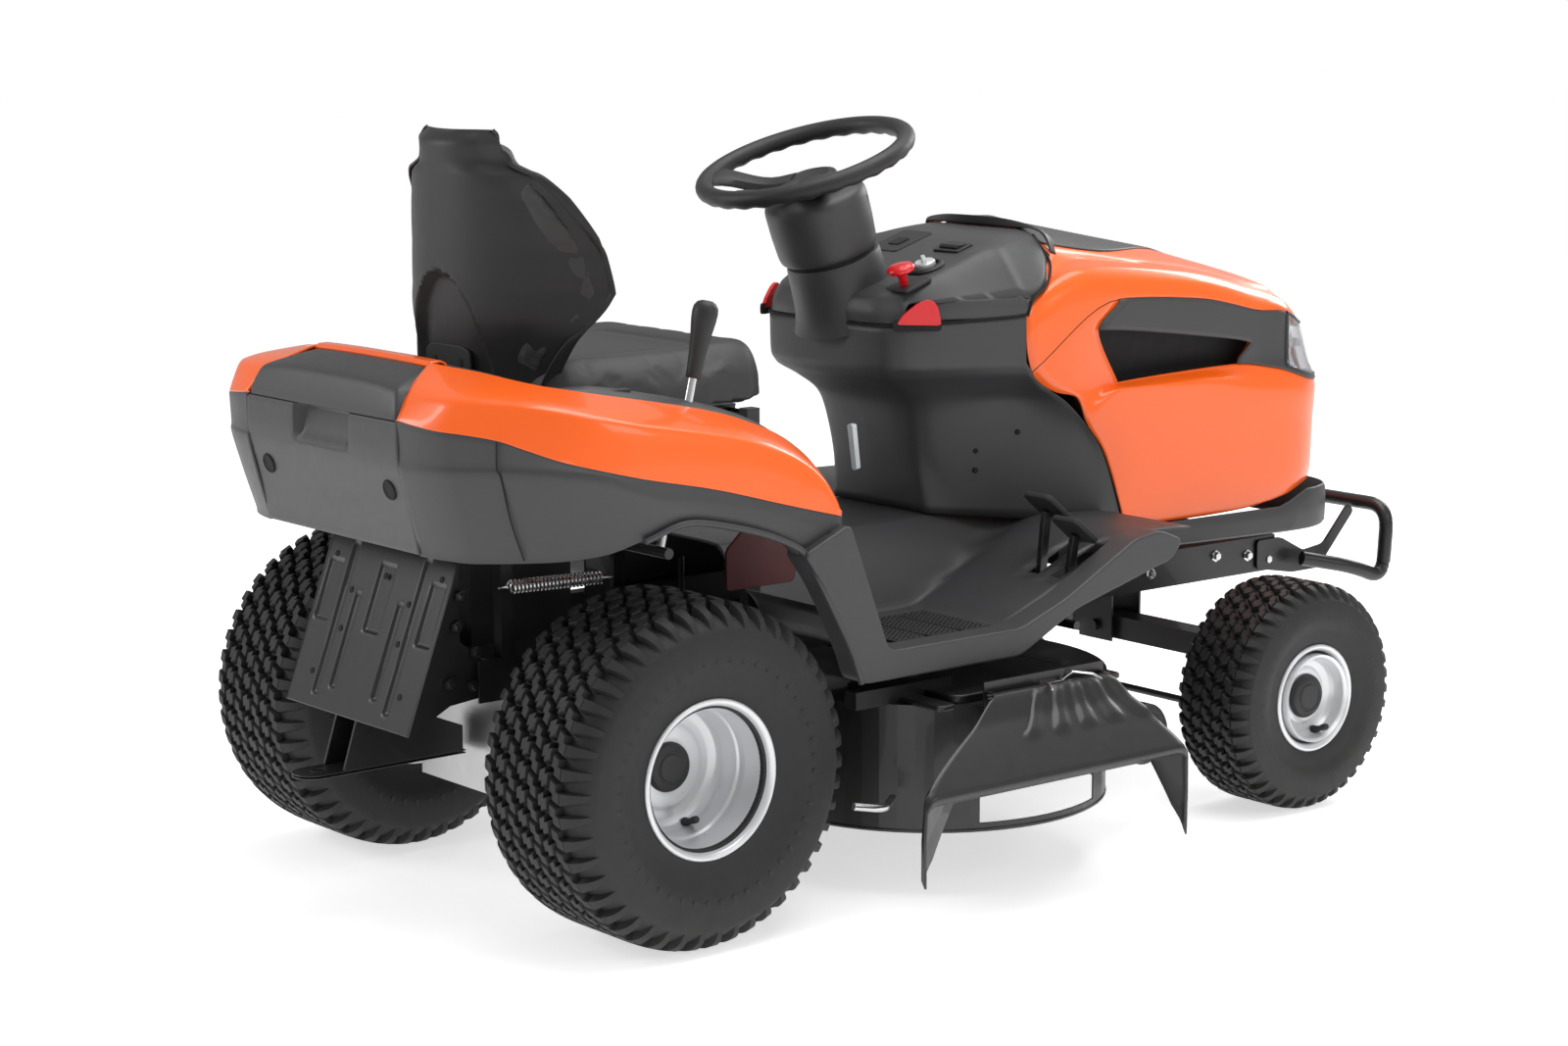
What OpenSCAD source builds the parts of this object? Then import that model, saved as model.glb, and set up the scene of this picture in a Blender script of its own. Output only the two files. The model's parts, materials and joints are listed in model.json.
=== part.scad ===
// Lawn tractor with a side-discharge mowing deck, in millimetres.
// The machine is laid out with +X forward, +Y to the driver's left and +Z up, the ground at z = 0 and
// the rear axle over x = 0. place() then moves every piece so that the origin is the centre of the
// underside of the whole machine's bounding box.

/* [Chassis] */
// Distance between the rear and front axles
wheelbase = 1269; // [1180:1:1500]
// Half the distance between the outer faces of the frame rails
rail_y = 184; // [170:1:195]
// Height of the frame rails' lower edge
rail_z = 340; // [325:1:350]
// Depth of the frame rails
rail_h = 62; // [50:1:66]
// Thickness of the frame and bracket plates
plate_t = 4; // [3:0.5:6]

/* [Rear wheels] */
// Outer radius of the rear tyres
rear_tyre_r = 254; // [235:1:262]
// Width of the rear tyres
rear_tyre_w = 254; // [200:1:270]
// Height of the middle of the rear wheels from the centre line
rear_track_y = 376; // [376:1:440]
// Radius of the rear rim flange
rear_flange_r = 118; // [105:1:125]
// Radius of the rear axle shafts
rear_shaft_r = 12.7; // [9:0.1:15]

/* [Front wheels] */
// Outer radius of the front tyres
front_tyre_r = 190.5; // [175:0.5:200]
// Width of the front tyres
front_tyre_w = 160; // [120:1:170]
// Distance of the middle of the front wheels from the centre line
front_track_y = 413; // [405:1:460]
// Radius of the front rim flange
front_flange_r = 90.5; // [80:0.5:100]
// Radius of the front stub axles
stub_r = 9.5; // [8:0.1:12]

/* [Steering] */
// Height of the middle of the steering wheel
wheel_z = 1081; // [1060:1:1150]
// Distance of the steering wheel from the rear axle
wheel_x = 572; // [540:1:600]
// Lean of the steering column
column_tilt = 18.7; // [15:0.1:22]
// Outer radius of the steering wheel
wheel_r = 181; // [160:1:200]
// Radius of the steering wheel's rim tube
wheel_tube_r = 15; // [11:0.5:17]
// Radius of the steering shaft
shaft_r = 9.5; // [7:0.1:12]

/* [Body panels] */
// Half the width of the hood
hood_y = 235; // [220:1:245]
// Foremost point of the hood's nose
nose_x = 1625; // [1600:1:1650]
// Height of the hood's top line at its rear end
hood_z = 968; // [950:1:1000]
// Half the width of the rear fender
fender_y = 458; // [440:1:480]
// Rearmost face of the fender
fender_x = -360; // [-400:1:-340]
// Half the width over the footrests
footrest_y = 480; // [465:1:500]
// Height of the footrest's floor
floor_z = 386; // [380:1:400]
// Wall thickness of the moulded panels
wall = 4; // [2.5:0.5:5]

/* [Seat] */
// Width of the seat's cushion
seat_w = 480; // [400:1:500]
// Height of the top of the backrest
seat_top_z = 1158; // [1100:1:1200]

/* [Mowing deck] */
// Radius of each round end of the deck
deck_r = 283; // [270:1:290]
// Distance of each blade spindle from the centre line
spindle_y = 262; // [262:1:275]
// Length of a blade from its axis to its tip
blade_r = 256; // [220:1:256]
// Height of the deck's lower edge when it is raised
deck_z = 105; // [95:1:125]
// Height of the deck's skirt
deck_h = 195; // [150:1:205]
// Furthest reach of the side deflector from the centre line
deflector_y = 650; // [620:1:720]

/* [Bumper] */
// Radius of the bumper's tube
bumper_r = 12.5; // [10:0.5:16]
// Half the width of the bumper
bumper_y = 262; // [240:1:290]
// Distance of the bumper's tube ahead of the rear axle
bumper_x = 1697; // [1690:1:1760]

/* [Hitch] */
// Radius of the hitch hole
hitch_hole_r = 9.5; // [6:0.5:12]
// Rear end of the hitch plate
hitch_x = -392; // [-430:1:-380]

/* [Hidden] */
$fn = 48;
eps = 0.01;
// Clearance between still neighbours, and the radial clearance of a running fit
gap = 0.3;
run_fit = 0.05;
deck_xc = 604;
spindle_stagger = 13;
// Bends of the bumper are a little fuller than its straight tubes
bend_r = bumper_r + 0.6;
left_extent = max(spindle_y + deck_r, rear_track_y + rear_tyre_w / 2);
mid_x = (bumper_x + bend_r + hitch_x) / 2;
mid_y = (left_extent - deflector_y) / 2;
rail_top = rail_z + rail_h;
// Steering column: unit vector down the shaft, from the middle of the wheel
col = [sin(column_tilt), 0, -cos(column_tilt)];

// ---------------------------------------------------------------- helpers
module place() { translate([-mid_x, -mid_y, 0]) children(); }

// Both sides of the machine
module pair() {
    children();
    mirror([0, 1, 0]) children();
}

// Box from its lowest to its highest corner
module block(a, b) { translate(a) cube(b - a); }

// Outline in the XZ plane, given width from y0 to y1
module side_prism(points, y0, y1) {
    translate([0, y1, 0]) rotate([90, 0, 0]) linear_extrude(y1 - y0) polygon(points);
}

// Outline in the XY plane, given height from z0 to z1
module plan_prism(points, z0, z1) {
    translate([0, 0, z0]) linear_extrude(z1 - z0) polygon(points);
}

// Straight round bar between two points
module bar(a, b, r) {
    d = b - a;
    translate(a)
        rotate([0, acos(d.z / norm(d)), atan2(d.y, d.x)])
            cylinder(r = r, h = norm(d));
}

// Cylinder along Y from y0 to y1
module rod_y(x, z, y0, y1, r) {
    translate([x, y0, z]) rotate([-90, 0, 0]) cylinder(r = r, h = y1 - y0);
}

// Cylinder along Z
module rod_z(x, y, z0, z1, r) { translate([x, y, z0]) cylinder(r = r, h = z1 - z0); }

// Moves children so that their Z axis runs up the steering column, s below the wheel's middle
module on_column(s) {
    translate([wheel_x, 0, wheel_z] + s * col) rotate([0, -column_tilt, 0]) children();
}

// ---------------------------------------------------------------- chassis
rail_rear_x = -190;
rail_front_x = 1490;
axle_z = front_tyre_r + 54;
axle_pin_r = 10;
deck_top_z = deck_z + deck_h;
hanger_r = 6;
hanger_x = [430, 700];
hanger_y = 148;
deck_travel = 75;
lever_x = 20;
lever_z = 560;
lever_pin_r = 8;
seat_hinge_x = 318;
seat_hinge_z = 716;
seat_pin_r = 6;
bearing_s = 660;
engine_x = 1180;

module frame() {
    place() color("#1c1c1e") difference() {
        union() {
            // side rails, channels open towards the middle
            pair() block([rail_rear_x, rail_y - plate_t, rail_z], [rail_front_x, rail_y, rail_top]);
            pair() for (z = [rail_z, rail_top - plate_t])
                block([-105, rail_y - 26, z], [rail_front_x, rail_y, z + plate_t]);
            // cross plates: battery tray, middle bearing plate, engine base, front plate
            block([-170, -rail_y, rail_top - plate_t], [60, rail_y, rail_top]);
            block([740, -rail_y, rail_top - plate_t], [870, rail_y, rail_top]);
            block([1000, -rail_y, rail_top - plate_t], [1345, rail_y, rail_top]);
            block([rail_front_x - plate_t, -rail_y, rail_z], [rail_front_x, rail_y, rail_top]);
            // posts that carry the seat deck
            pair() {
                block([-150, rail_y - 20, rail_top - 1], [-130, rail_y, 690]);
                block([seat_hinge_x - 12, rail_y - 20, rail_top - 1],
                    [seat_hinge_x + 12, rail_y, seat_hinge_z + 10]);
            }
            rod_y(seat_hinge_x, seat_hinge_z, -rail_y + 1, rail_y - 1, seat_pin_r - run_fit);
            // front axle pivot: two drop plates and the pin between them
            for (x = [wheelbase - 36, wheelbase + 32])
                block([x, -40, axle_z - 24], [x + plate_t, 40, rail_top]);
            bar([wheelbase - 44, 0, axle_z], [wheelbase + 44, 0, axle_z], axle_pin_r - run_fit);
            for (x = [wheelbase - 36, wheelbase + 32])
                block([x, -rail_y, rail_z], [x + plate_t, rail_y, rail_top]);
            // lower steering bearing
            on_column(bearing_s + 55) cylinder(r = shaft_r + 9, h = 55);
            // bracket and pin of the lift lever
            mirror([0, 1, 0]) {
                block([lever_x - 22, rail_y, rail_z + 8], [lever_x + 22, rail_y + plate_t, lever_z + 20]);
                rod_y(lever_x, lever_z, rail_y, 362, lever_pin_r - run_fit);
            }
            // brackets of the pedals, outside the rails
            pair() block([760, rail_y, rail_z + 6], [800, rail_y + plate_t, rail_top - 6]);
            rod_y(pedal_x, pedal_z, -418, -rail_y, pedal_pin_r - run_fit);
            rod_y(pedal_x, pedal_z, rail_y, 372, pedal_pin_r - run_fit);
            // eyes of the four deck hanger rods
            pair() for (x = hanger_x)
                block([x - 16, hanger_y - 20, rail_z], [x + 16, rail_y - 1, rail_z + plate_t]);
        }
        pair() for (x = hanger_x) rod_z(x, hanger_y, rail_z - 1, rail_z + plate_t + 1, hanger_r + run_fit);
        rod_z(engine_x, 0, rail_z, rail_top + 1, 30);
        on_column(bearing_s + 45) cylinder(r = shaft_r + run_fit, h = 200);
    }
}

// Slanted rear plate with side flanges, and the hitch plate below it
plate_low = [-304, 304];
plate_high = [-213, 547];
module rear_plate() {
    t = plate_t;
    half = rail_y - plate_t - gap;
    place() color("#1a1a1c") difference() {
        union() {
            side_prism([plate_low, [plate_low.x + t, plate_low.y], [plate_high.x + t, plate_high.y],
                plate_high], -half, half);
            pair() side_prism([[plate_low.x, plate_low.y], [-230, plate_low.y + 36],
                [-110, plate_low.y + 50], [-110, rail_top - 6], [-171, rail_top - 6], [-213, rail_top + 30], plate_high],
                half - t, half);
            // hitch plate and its two webs
            block([hitch_x + 30, -30, 226], [-112, 30, 232]);
            rod_z(hitch_x + 30, 0, 226, 232, 30);
            pair() side_prism([[-330, 231], [-118, 231], [-118, 270], [plate_low.x + 44, 330],
                [plate_low.x + 12, 330], [plate_low.x + 1, plate_low.y]], 24, 30);
        }
        rod_z(hitch_x + 41, 0, 220, 240, hitch_hole_r);
    }
}

// Bull bar: one bent tube at the top and one at the bottom, with two bracket plates
module bumper() {
    top_z = 440;
    low_z = 318;
    bend = 46;
    place() color("#1b1b1d") union() {
        bar([bumper_x, -bumper_y + bend, top_z], [bumper_x, bumper_y - bend, top_z], bumper_r);
        pair() {
            bar([bumper_x, bumper_y - bend, top_z], [bumper_x - 6, bumper_y, top_z - bend], bumper_r);
            translate([bumper_x, bumper_y - bend, top_z]) sphere(r = bend_r);
            translate([bumper_x - 6, bumper_y, top_z - bend]) sphere(r = bend_r);
            bar([bumper_x - 6, bumper_y, top_z - bend], [bumper_x - 10, bumper_y, low_z + 12], bumper_r);
            translate([bumper_x - 10, bumper_y, low_z + 12]) sphere(r = bend_r);
            bar([bumper_x - 10, bumper_y, low_z + 12], [bumper_x - 70, bumper_y - 30, low_z + 22], bumper_r);
            translate([bumper_x - 70, bumper_y - 30, low_z + 22]) sphere(r = bend_r);
            bar([bumper_x - 70, bumper_y - 30, low_z + 22], [1530, 212, low_z + 40], bumper_r);
            side_prism([[1440, 346], [1530, 330], [1600, 330], [bumper_x, top_z - 8],
                [bumper_x - 24, top_z], [1612, 372], [1560, 366], [1500, 396], [1440, 396]],
                rail_y + gap, rail_y + gap + plate_t + 1);
            bar([1530, rail_y + 2, low_z + 40], [1530, 214, low_z + 40], bumper_r);
        }
    }
}

// Hydrostatic transaxle: middle housing and two axle tubes
module transaxle() {
    place() color("#b9babd") difference() {
        union() {
            block([-95, -120, 166], [105, 120, rail_z - 8]);
            rod_y(0, rear_tyre_r, -236, 236, 34);
            block([-60, -rail_y + 8, rail_z - 9], [60, rail_y - 8, rail_z - gap]);
            rod_z(70, 0, rail_z - 9, rail_z + 30, 55);
        }
        for (s = [0, 1]) mirror([0, s, 0])
            rod_y(0, rear_tyre_r, 90, 240, rear_shaft_r + run_fit);
    }
}

// Vertical-shaft engine with its fan shroud, and the muffler beside it
module engine() {
    place() color("#3a3b3e") union() {
        block([1035, -110, rail_top], [1290, 110, rail_top + 70]);
        rod_z(engine_x, 0, rail_top + 70 - eps, rail_top + 290, 125);
        block([1060, -130, rail_top + 60], [1330, 130, rail_top + 190]);
        rod_z(engine_x, 0, rail_top + 290 - eps, rail_top + 320, 90);
        rod_y(1365, rail_top + 120, -130, 130, 46);
        rod_z(engine_x, 0, rail_z - 30, rail_top + 1, 20);
    }
}

// Translucent tank behind the console's rear face
module fuel_tank() {
    place() color("#d9dde0") union() {
        block([812, -95, console_z + wall + gap], [948, 95, 735]);
        rod_z(885, 40, 735 - eps, 760, 28);
    }
}

module battery() {
    place() color("#26272a") union() {
        block([-140, -90, rail_top], [40, 90, rail_top + 170]);
        for (y = [-60, 60]) rod_z(10, y, rail_top + 170 - eps, rail_top + 182, 9);
    }
}

// ---------------------------------------------------------------- rear body
// Plan outline of the fender at its outer faces, right half then left half
function fender_plan(d) = [
    [fender_x + d, -205 + d * 0.4], [-300 + d * 0.85, -328 + d * 0.55],
    [-205 + d * 0.5, -420 + d * 0.9], [-90, -fender_y + d], [420, -fender_y + d],
    [420, fender_y - d], [-90, fender_y - d], [-205 + d * 0.5, 420 - d * 0.9],
    [-300 + d * 0.85, 328 - d * 0.55], [fender_x + d, 205 - d * 0.4]];
// Plan outline of the opening inside the painted band
band_in = [[-222, -150], [-190, -290], [-120, -352], [420, -372], [420, 372], [-120, 352],
    [-190, 290], [-222, 150]];
// Side outline of the painted band's lower edge and top edge
band_low = [[fender_x - 10, 763], [-268, 748], [-184, 715], [30, 665], [150, 632], [256, 602]];
band_top = [[262, 618], [240, 668], [200, 712], [110, 752], [-123, 802], [-243, 836], [fender_x - 10, 800]];
lid_y = 204;

module fender_shell() {
    place() color("#ff5a14") difference() {
        intersection() {
            plan_prism(fender_plan(0), 590, 860);
            side_prism(concat(band_low, band_top), -500, 500);
        }
        // hollow underneath, open to the wheels
        intersection() {
            plan_prism(fender_plan(wall), 580, 860);
            side_prism(concat([[fender_x, 500], [300, 500]],
                [for (p = band_top) [p.x, p.y - wall]]), -490, 490);
        }
        plan_prism(band_in, 580, 870);
        // opening of the rear lid
        plan_prism([[fender_x - 10, -lid_y - 2], [-239, -151], [-239, 151],
            [fender_x - 10, lid_y + 2]], 700, 900);
    }
}

module fender_skirt() {
    low = [[fender_x - 10, 640], [-290, 590], [-240, 572], [-110, 572], [150, 566], [172, 560]];
    place() color("#4a4b4d") difference() {
        intersection() {
            plan_prism(fender_plan(1), 560, 860);
            side_prism(concat(low, [[264, 595]],
                [for (i = [len(band_low) - 1:-1:0]) band_low[i] - [0, gap]]), -500, 500);
        }
        intersection() {
            plan_prism(fender_plan(1 + wall), 500, 870);
            side_prism([[fender_x, 500], [300, 500], [300, 600], [256, 592], [30, 655],
                [-184, 745], [-240, 759], [fender_x, 759]], -500, 500);
        }
        plan_prism([[-240, -166], [-180, -288], [-120, -350], [420, -370], [420, 370],
            [-120, 350], [-180, 288], [-240, 166]], 500, 900);
    }
}

// Dark deck inside the painted band, with the seat's recess and the slot of the lift lever
module fender_trim() {
    in_x = 250;
    place() color("#3c3d3f") difference() {
        union() {
            intersection() {
                plan_prism([for (p = band_in) [min(p.x, 262) + gap * 2, p.y - sign(p.y) * gap]], 600, 860);
                side_prism([[-240, 832], [-120, 797], [110, 747], [200, 706], [238, 664], [262, 612],
                    [262, 590], [-240, 690]], -400, 400);
            }
        }
        // hollow underneath
        difference() {
            side_prism([[-260, 500], [300, 500], [300, 600], [in_x - 20, 656], [192, 700],
                [104, 740], [-122, 790], [-232, 822], [-260, 826]], -400, 400);
            block([-236, -270, 696], [260, 270, 700]);
            pair() block([-236, 266, 690], [260, 270, 830]);
            block([-236, -270, 690], [-232 + wall, 270, 830]);
        }
        block([-230 + wall, -266, 700], [400, 266, 900]);
        block([150, -266, 500], [400, 266, 695.5]);
        block([lever_x + 16, -354, 560], [lever_x + 200, -326, 900]);
        // clear of the frame posts
        pair() block([-152, rail_y - 22, 500], [-128, rail_y + 2, 690 + gap]);
    }
}

// Hatch between the two halves of the painted band, hinged along its top edge
module rear_lid() {
    t = 5;
    place() color("#47484a") union() {
        intersection() {
            side_prism([[-240, 836], [-243, 836 - t], [-330, 774], [fender_x + 8, 764],
                [fender_x + 2, 770], [-334, 782], [-246, 843]], -lid_y + 2, lid_y - 2);
            plan_prism([[fender_x, -lid_y + 3], [-240, -148], [-240, 148], [fender_x, lid_y - 3]], 700, 900);
        }
    }
}

// ---------------------------------------------------------------- footrest and console
pedal_x = 780;
pedal_z = 330 + 36;
pedal_pin_r = 7;
forward_y = -332;
reverse_y = -396;
brake_y = 340;
console_z = 512;
tunnel_low_y = 236;
module footrest() {
    // profile of the side frame: pillar, sill and front rise
    sill = [[172, 560 - gap], [211, 511], [241, 457], [271, 397], [286, 346], [600, 346], [724, 408],
        [935, 462], [960, 492], [905, 512], [850, 505], [700, 430], [600, floor_z + 6],
        [345, floor_z + 6], [264, 595 - gap]];
    floor_line = [[300, floor_z], [620, floor_z], [716, 424], [905, 500]];
    place() color("#4a4b4d") difference() {
        union() {
            pair() {
                side_prism(sill, footrest_y - 52, footrest_y);
                side_prism(concat(floor_line, [for (i = [3:-1:0]) floor_line[i] - [0, wall]]),
                    tunnel_low_y - 2, footrest_y - 51);
            }
            // tunnel over the frame
            difference() {
                hull() {
                    pair() {
                        plan_prism([[300, 0], [300, tunnel_low_y], [1020, tunnel_low_y + 6], [1020, 0]],
                            floor_z - wall, floor_z - wall + 1);
                        side_prism([[330, console_z - 4], [1015, console_z - 4], [1015, console_z - 3 - gap + 3],
                            [330, console_z - 3]], 0, 118);
                        side_prism([[1010, console_z - 20], [1020, console_z - 20], [1020, console_z - 19],
                            [1010, console_z - 19]], 0, 230);
                    }
                }
                hull() {
                    pair() {
                        plan_prism([[290, 0], [290, tunnel_low_y - wall], [1050, tunnel_low_y + 2],
                            [1050, 0]], floor_z - wall - 3, floor_z - wall - 2);
                        side_prism([[320, console_z - 8], [1030, console_z - 8], [1030, console_z - 4 - gap],
                            [320, console_z - 7]], 0, 114);
                        side_prism([[1010, console_z - 24], [1030, console_z - 24], [1030, console_z - 23],
                            [1010, console_z - 23]], 0, 226);
                    }
                }
            }
        }
        // slots of the pedals
        for (y = [reverse_y, forward_y, brake_y])
            block([pedal_x - 40, y - 14, 360], [pedal_x + 90, y + 14, 520]);
        on_column(720) cylinder(r = shaft_r + 16, h = 300);
        block([280, -70, 500], [700, 70, 520]);
        // notches round the posts of the seat hinge
        pair() block([seat_hinge_x - 13, rail_y - 21, 370], [seat_hinge_x + 13, rail_y + 1, 520]);
    }
}

// Ribbed rubber mats on the two floors
module foot_mats() {
    place() color("#2a2b2d") pair() {
        plan_prism([[400, 258], [614, 258], [600, 418], [400, 418]], floor_z, floor_z + 3);
        for (x = [414:16:596]) block([x, 266, floor_z + 3 - eps], [x + 7, 410, floor_z + 6]);
    }
}

// Lower console: plan widens towards the hood, rear face leans forward as it rises
seam = [[1063, 482], [1016, 600], [976, 651], [926, 694], [860, 712], [839, 760], [839, 836]];
module console_low(d, top) {
    hull() pair() {
        plan_prism([[728 + d, 0], [728 + d, 112 - d], [870, 182 - d], [1063 + 6 * d, hood_y - 2 - d],
            [1063 + 6 * d, 0]], console_z + gap + d, console_z + 1 + gap + d);
        plan_prism([[694 + d, 0], [694 + d, 132 - d], [860, 190 - d], [1000 + 6 * d, hood_y - 2 - d],
            [1000 + 6 * d, 0]], 690, 691);
    }
    hull() pair() {
        plan_prism([[693.5 + d, 0], [693.5 + d, 132.5 - d], [860, 190.7 - d], [930, hood_y - 2.5 - d],
            [930, 0]], 688.5, 689.5);
        plan_prism([[620 + d, 0], [620 + d, 158 - d], [700, 200 - d], [926, hood_y - 2.5 - d], [926, 0]],
            760, top);
    }
}
module console_lower() {
    place() color("#434446") difference() {
        console_low(0, 828);
        // open above and towards the hood
        console_low(wall, 900);
        side_prism(concat(seam, [[839, 900], [1200, 900], [1200, 482]]), -300, 300);
        on_column(720) cylinder(r = shaft_r + 14, h = 600);
        // sight slot of the fuel tank
        block([600, 92, 598], [760, 108, 684]);
    }
}

// Upper console: dash sloping up to the hood, with the collar of the steering column
module console_outer_up(d) {
    hull() pair() {
        plan_prism([[616 + d, 0], [616 + d, 158 - d], [700, 200 - d], [838, hood_y - 2 - d], [838, 0]],
            828.6 - eps, 829.6);
        side_prism([[618 + d, 876 - d], [850, 950 - d], [858, 950 - d], [640, 870 - d]], 0, 130 - d);
        plan_prism([[850, 0], [850, 158 - d], [955, 150 - d], [955, 0]], 948 - d, 950 - d);
        plan_prism([[838, 0], [838, hood_y - 2 - d], [842, hood_y - 4 - d], [842, 0]], 850, 852);
    }
}
module console_upper() {
    place() color("#434446") difference() {
        union() {
            console_outer_up(0);
            on_column(212) cylinder(r = 78, h = 48);
        }
        difference() {
            translate([0, 0, -2 * eps]) console_outer_up(wall);
            // sockets under the knobs
            for (p = knob_pts) on_dash(p) translate([0, 0, -16]) cylinder(r = 14, h = 16);
        }
        on_column(230) cylinder(r = 78 - wall, h = 70);
        on_column(600) cylinder(r = shaft_r + 14, h = 420);
        for (p = knob_pts) on_dash(p) translate([0, 0, -30]) cylinder(r = 6 + run_fit, h = 60);
        on_dash(throttle_pt) block([-34, -2 - gap, -30], [34, 2 + gap, 30]);
        on_dash(switch_pt) block([-16, -10 - gap, -20], [16, 10 + gap, 20]);
        pair() on_side(latch_pt) block([-26, -10, -18], [26, 4, 18]);
    }
}

// Places on the dash: x, y, and the dash plane's height there
dash_rise = 74 / 232;
function dash_z(x) = 876 + (x - 618) * dash_rise;
pto_pt = [655, -143];
ignition_pt = [735, -112];
switch_pt = [815, -85];
throttle_pt = [735, 112];
knob_pts = [pto_pt, ignition_pt];
module on_dash(p) { translate([p.x, p.y, dash_z(p.x)]) rotate([0, -atan(dash_rise), 0]) children(); }
latch_pt = [645, 175, 846];
latch_turn = 26.6;
module on_side(p) { translate(p) rotate([0, 0, latch_turn]) children(); }

module column_shroud() {
    place() color("#414244") difference() {
        on_column(164 - gap) cylinder(r1 = 79, r2 = 82, h = 96);
        on_column(162 + eps) cylinder(r1 = 75, r2 = 78, h = 90);
        on_column(170) cylinder(r = shaft_r + 4, h = 120);
        translate([0, 0, 0]) on_column(165) cylinder(r = 74, h = 40);
    }
}

// Skirt round the front, below the hood
module front_valance() {
    y = hood_y + 14;
    place() color("#4a4b4d") difference() {
        intersection() {
            plan_prism([[1075, -y], [1500, -y], [1590, -y + 45], [1622, -110], [1628, 0], [1622, 110],
                [1590, y - 45], [1500, y], [1075, y]], 400, 510);
            side_prism([[1075, 458], [1105, 424], [1640, 414], [1640, 494], [1500, 494], [1440, 462]],
                -300, 300);
        }
        plan_prism([[1000, -y + wall], [1498, -y + wall], [1586, -y + 49], [1617, -108], [1623, 0],
            [1617, 108], [1586, y - 49], [1498, y - wall], [1000, y - wall]], 390, 520);
    }
    // ledges that carry the valance on the rails
    place() color("#4a4b4d") pair() {
        block([1200, rail_y - 20, rail_top], [1260, y - wall, rail_top + wall]);
        block([1200, y - 2 * wall, rail_top], [1260, y - wall + 1, 440]);
    }
}

// ---------------------------------------------------------------- hood
hood_hinge_x = nose_x - 22;
hood_hinge_z = 497;
// Side outline of the hood, its cross-section along the sloping top, and its plan
hood_rear = [[958, hood_z + 4], [958, 925], [880, 870], [842, 838], [842, 760], [864, 716], [930, 698],
    [980, 655], [1020, 602], [1066, 466]];
function hood_side(d, rear) = concat([[1440, 464 - d], [1500, 498 - d], [nose_x - 25 - d, 498 - d],
    [nose_x - d, 660], [nose_x - 12 - d, 740], [nose_x - 70, 826 - d], [1403, 884 - d],
    [1200, 930 - d]], rear);
module hood_form(d) {
    intersection() {
        side_prism(hood_side(d, d == 0 ? hood_rear : [[800, 1010], [800, 460]]), -300, 300);
        plan_prism([[800, -hood_y + d], [1480, -hood_y + d], [1575, -180 + d], [nose_x - d, -90],
            [nose_x - d, 90], [1575, 180 - d], [1480, hood_y - d], [800, hood_y - d]], 400, 1000);
        // ridge line runs down towards the nose
        translate([958, 0, hood_z + 4]) rotate([0, 10.5, 0])
            translate([-200, 0, 0]) rotate([90, 0, 90]) linear_extrude(1100)
                polygon([[-145, -16 - d], [0, 4 - d], [145, -16 - d], [163 - d, -46], [hood_y - d + 3, -150],
                    [hood_y - d + 3, -800], [-hood_y + d - 3, -800], [-hood_y + d - 3, -150],
                    [-163 + d, -46]]);
    }
}
vent = [[1070, 722], [1040, 790], [1390, 742], [1390, 700], [1270, 722], [1240, 706], [1080, 706]];
trim = [[1000, 800], [1046, 846], [1440, 776], [1440, 742], [1200, 772], [1010, 798]];
lamp = [[1446, 775], [1640, 735], [1640, 690], [1446, 705]];
module hood_shell() {
    place() color("#ff5a14") difference() {
        hood_form(0);
        hood_form(wall);
        side_prism(vent, -300, 300);
        side_prism(trim, -300, 300);
        side_prism(lamp, -300, 300);
        hood_cover_cut(0);
        rod_y(hood_hinge_x, hood_hinge_z, -300, 300, 3);
    }
}

// Region of the dark strip along the hood's top
module hood_cover_cut(d) {
    plan_prism([[940, -142 + d], [1300, -128 + d], [1420 - d, -60], [1420 - d, 60],
        [1300, 128 - d], [940, 142 - d]], 850, 1000);
}
module hood_cover() {
    place() color("#414244") intersection() {
        difference() {
            hood_form(0);
            hood_form(wall);
        }
        hood_cover_cut(gap);
        block([960, -300, 800], [1500, 300, 1000]);
    }
}
module vent_trim() {
    place() color("#414244") intersection() {
        difference() {
            hood_form(0);
            hood_form(wall);
        }
        side_prism([for (p = trim) [1220, 790] + (p - [1220, 790]) * 0.996], -300, 300);
        pair() block([900, 180, 600], [1500, 300, 900]);
    }
}
module headlamps() {
    place() color("#d5dade") intersection() {
        difference() {
            hood_form(0);
            hood_form(wall * 2);
        }
        side_prism([for (p = lamp) [1540, 725] + (p - [1540, 725]) * 0.992], -300, 300);
        pair() block([1400, 60, 600], [1700, 300, 900]);
    }
}

// Hood catch on each side of the console
module latch() { on_side(latch_pt) side_prism([[-25, -17], [25, -17], [21, 10], [10, 17], [-20, 8]], -9, -1); }
module latch_right() { place() color("#e0162b") mirror([0, 1, 0]) latch(); }
module latch_left() { place() color("#e0162b") latch(); }

// ---------------------------------------------------------------- controls
module steering_shaft() {
    place() color("#8d8f93") union() {
        on_column(bearing_s + 30) cylinder(r = shaft_r, h = bearing_s + 30 - 52);
        on_column(bearing_s - 40) cylinder(r = shaft_r + 6, h = 14);
    }
}
module steering_wheel() {
    rim_r = wheel_r - wheel_tube_r;
    place() color("#2b2c2e") difference() {
        union() {
            on_column(0) rotate_extrude() translate([rim_r, 0]) circle(r = wheel_tube_r);
            on_column(54) cylinder(r = 40, h = 26);
            on_column(52) cylinder(r = 28, h = 6);
            for (a = [180, 55, -55]) on_column(0) rotate([0, 0, a])
                side_prism([[20, -50], [60, -46], [rim_r, -8], [rim_r, 6], [130, -2], [60, -30], [20, -30]],
                    -14, 14);
        }
        on_column(120) cylinder(r = shaft_r + run_fit, h = 80);
    }
}

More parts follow.
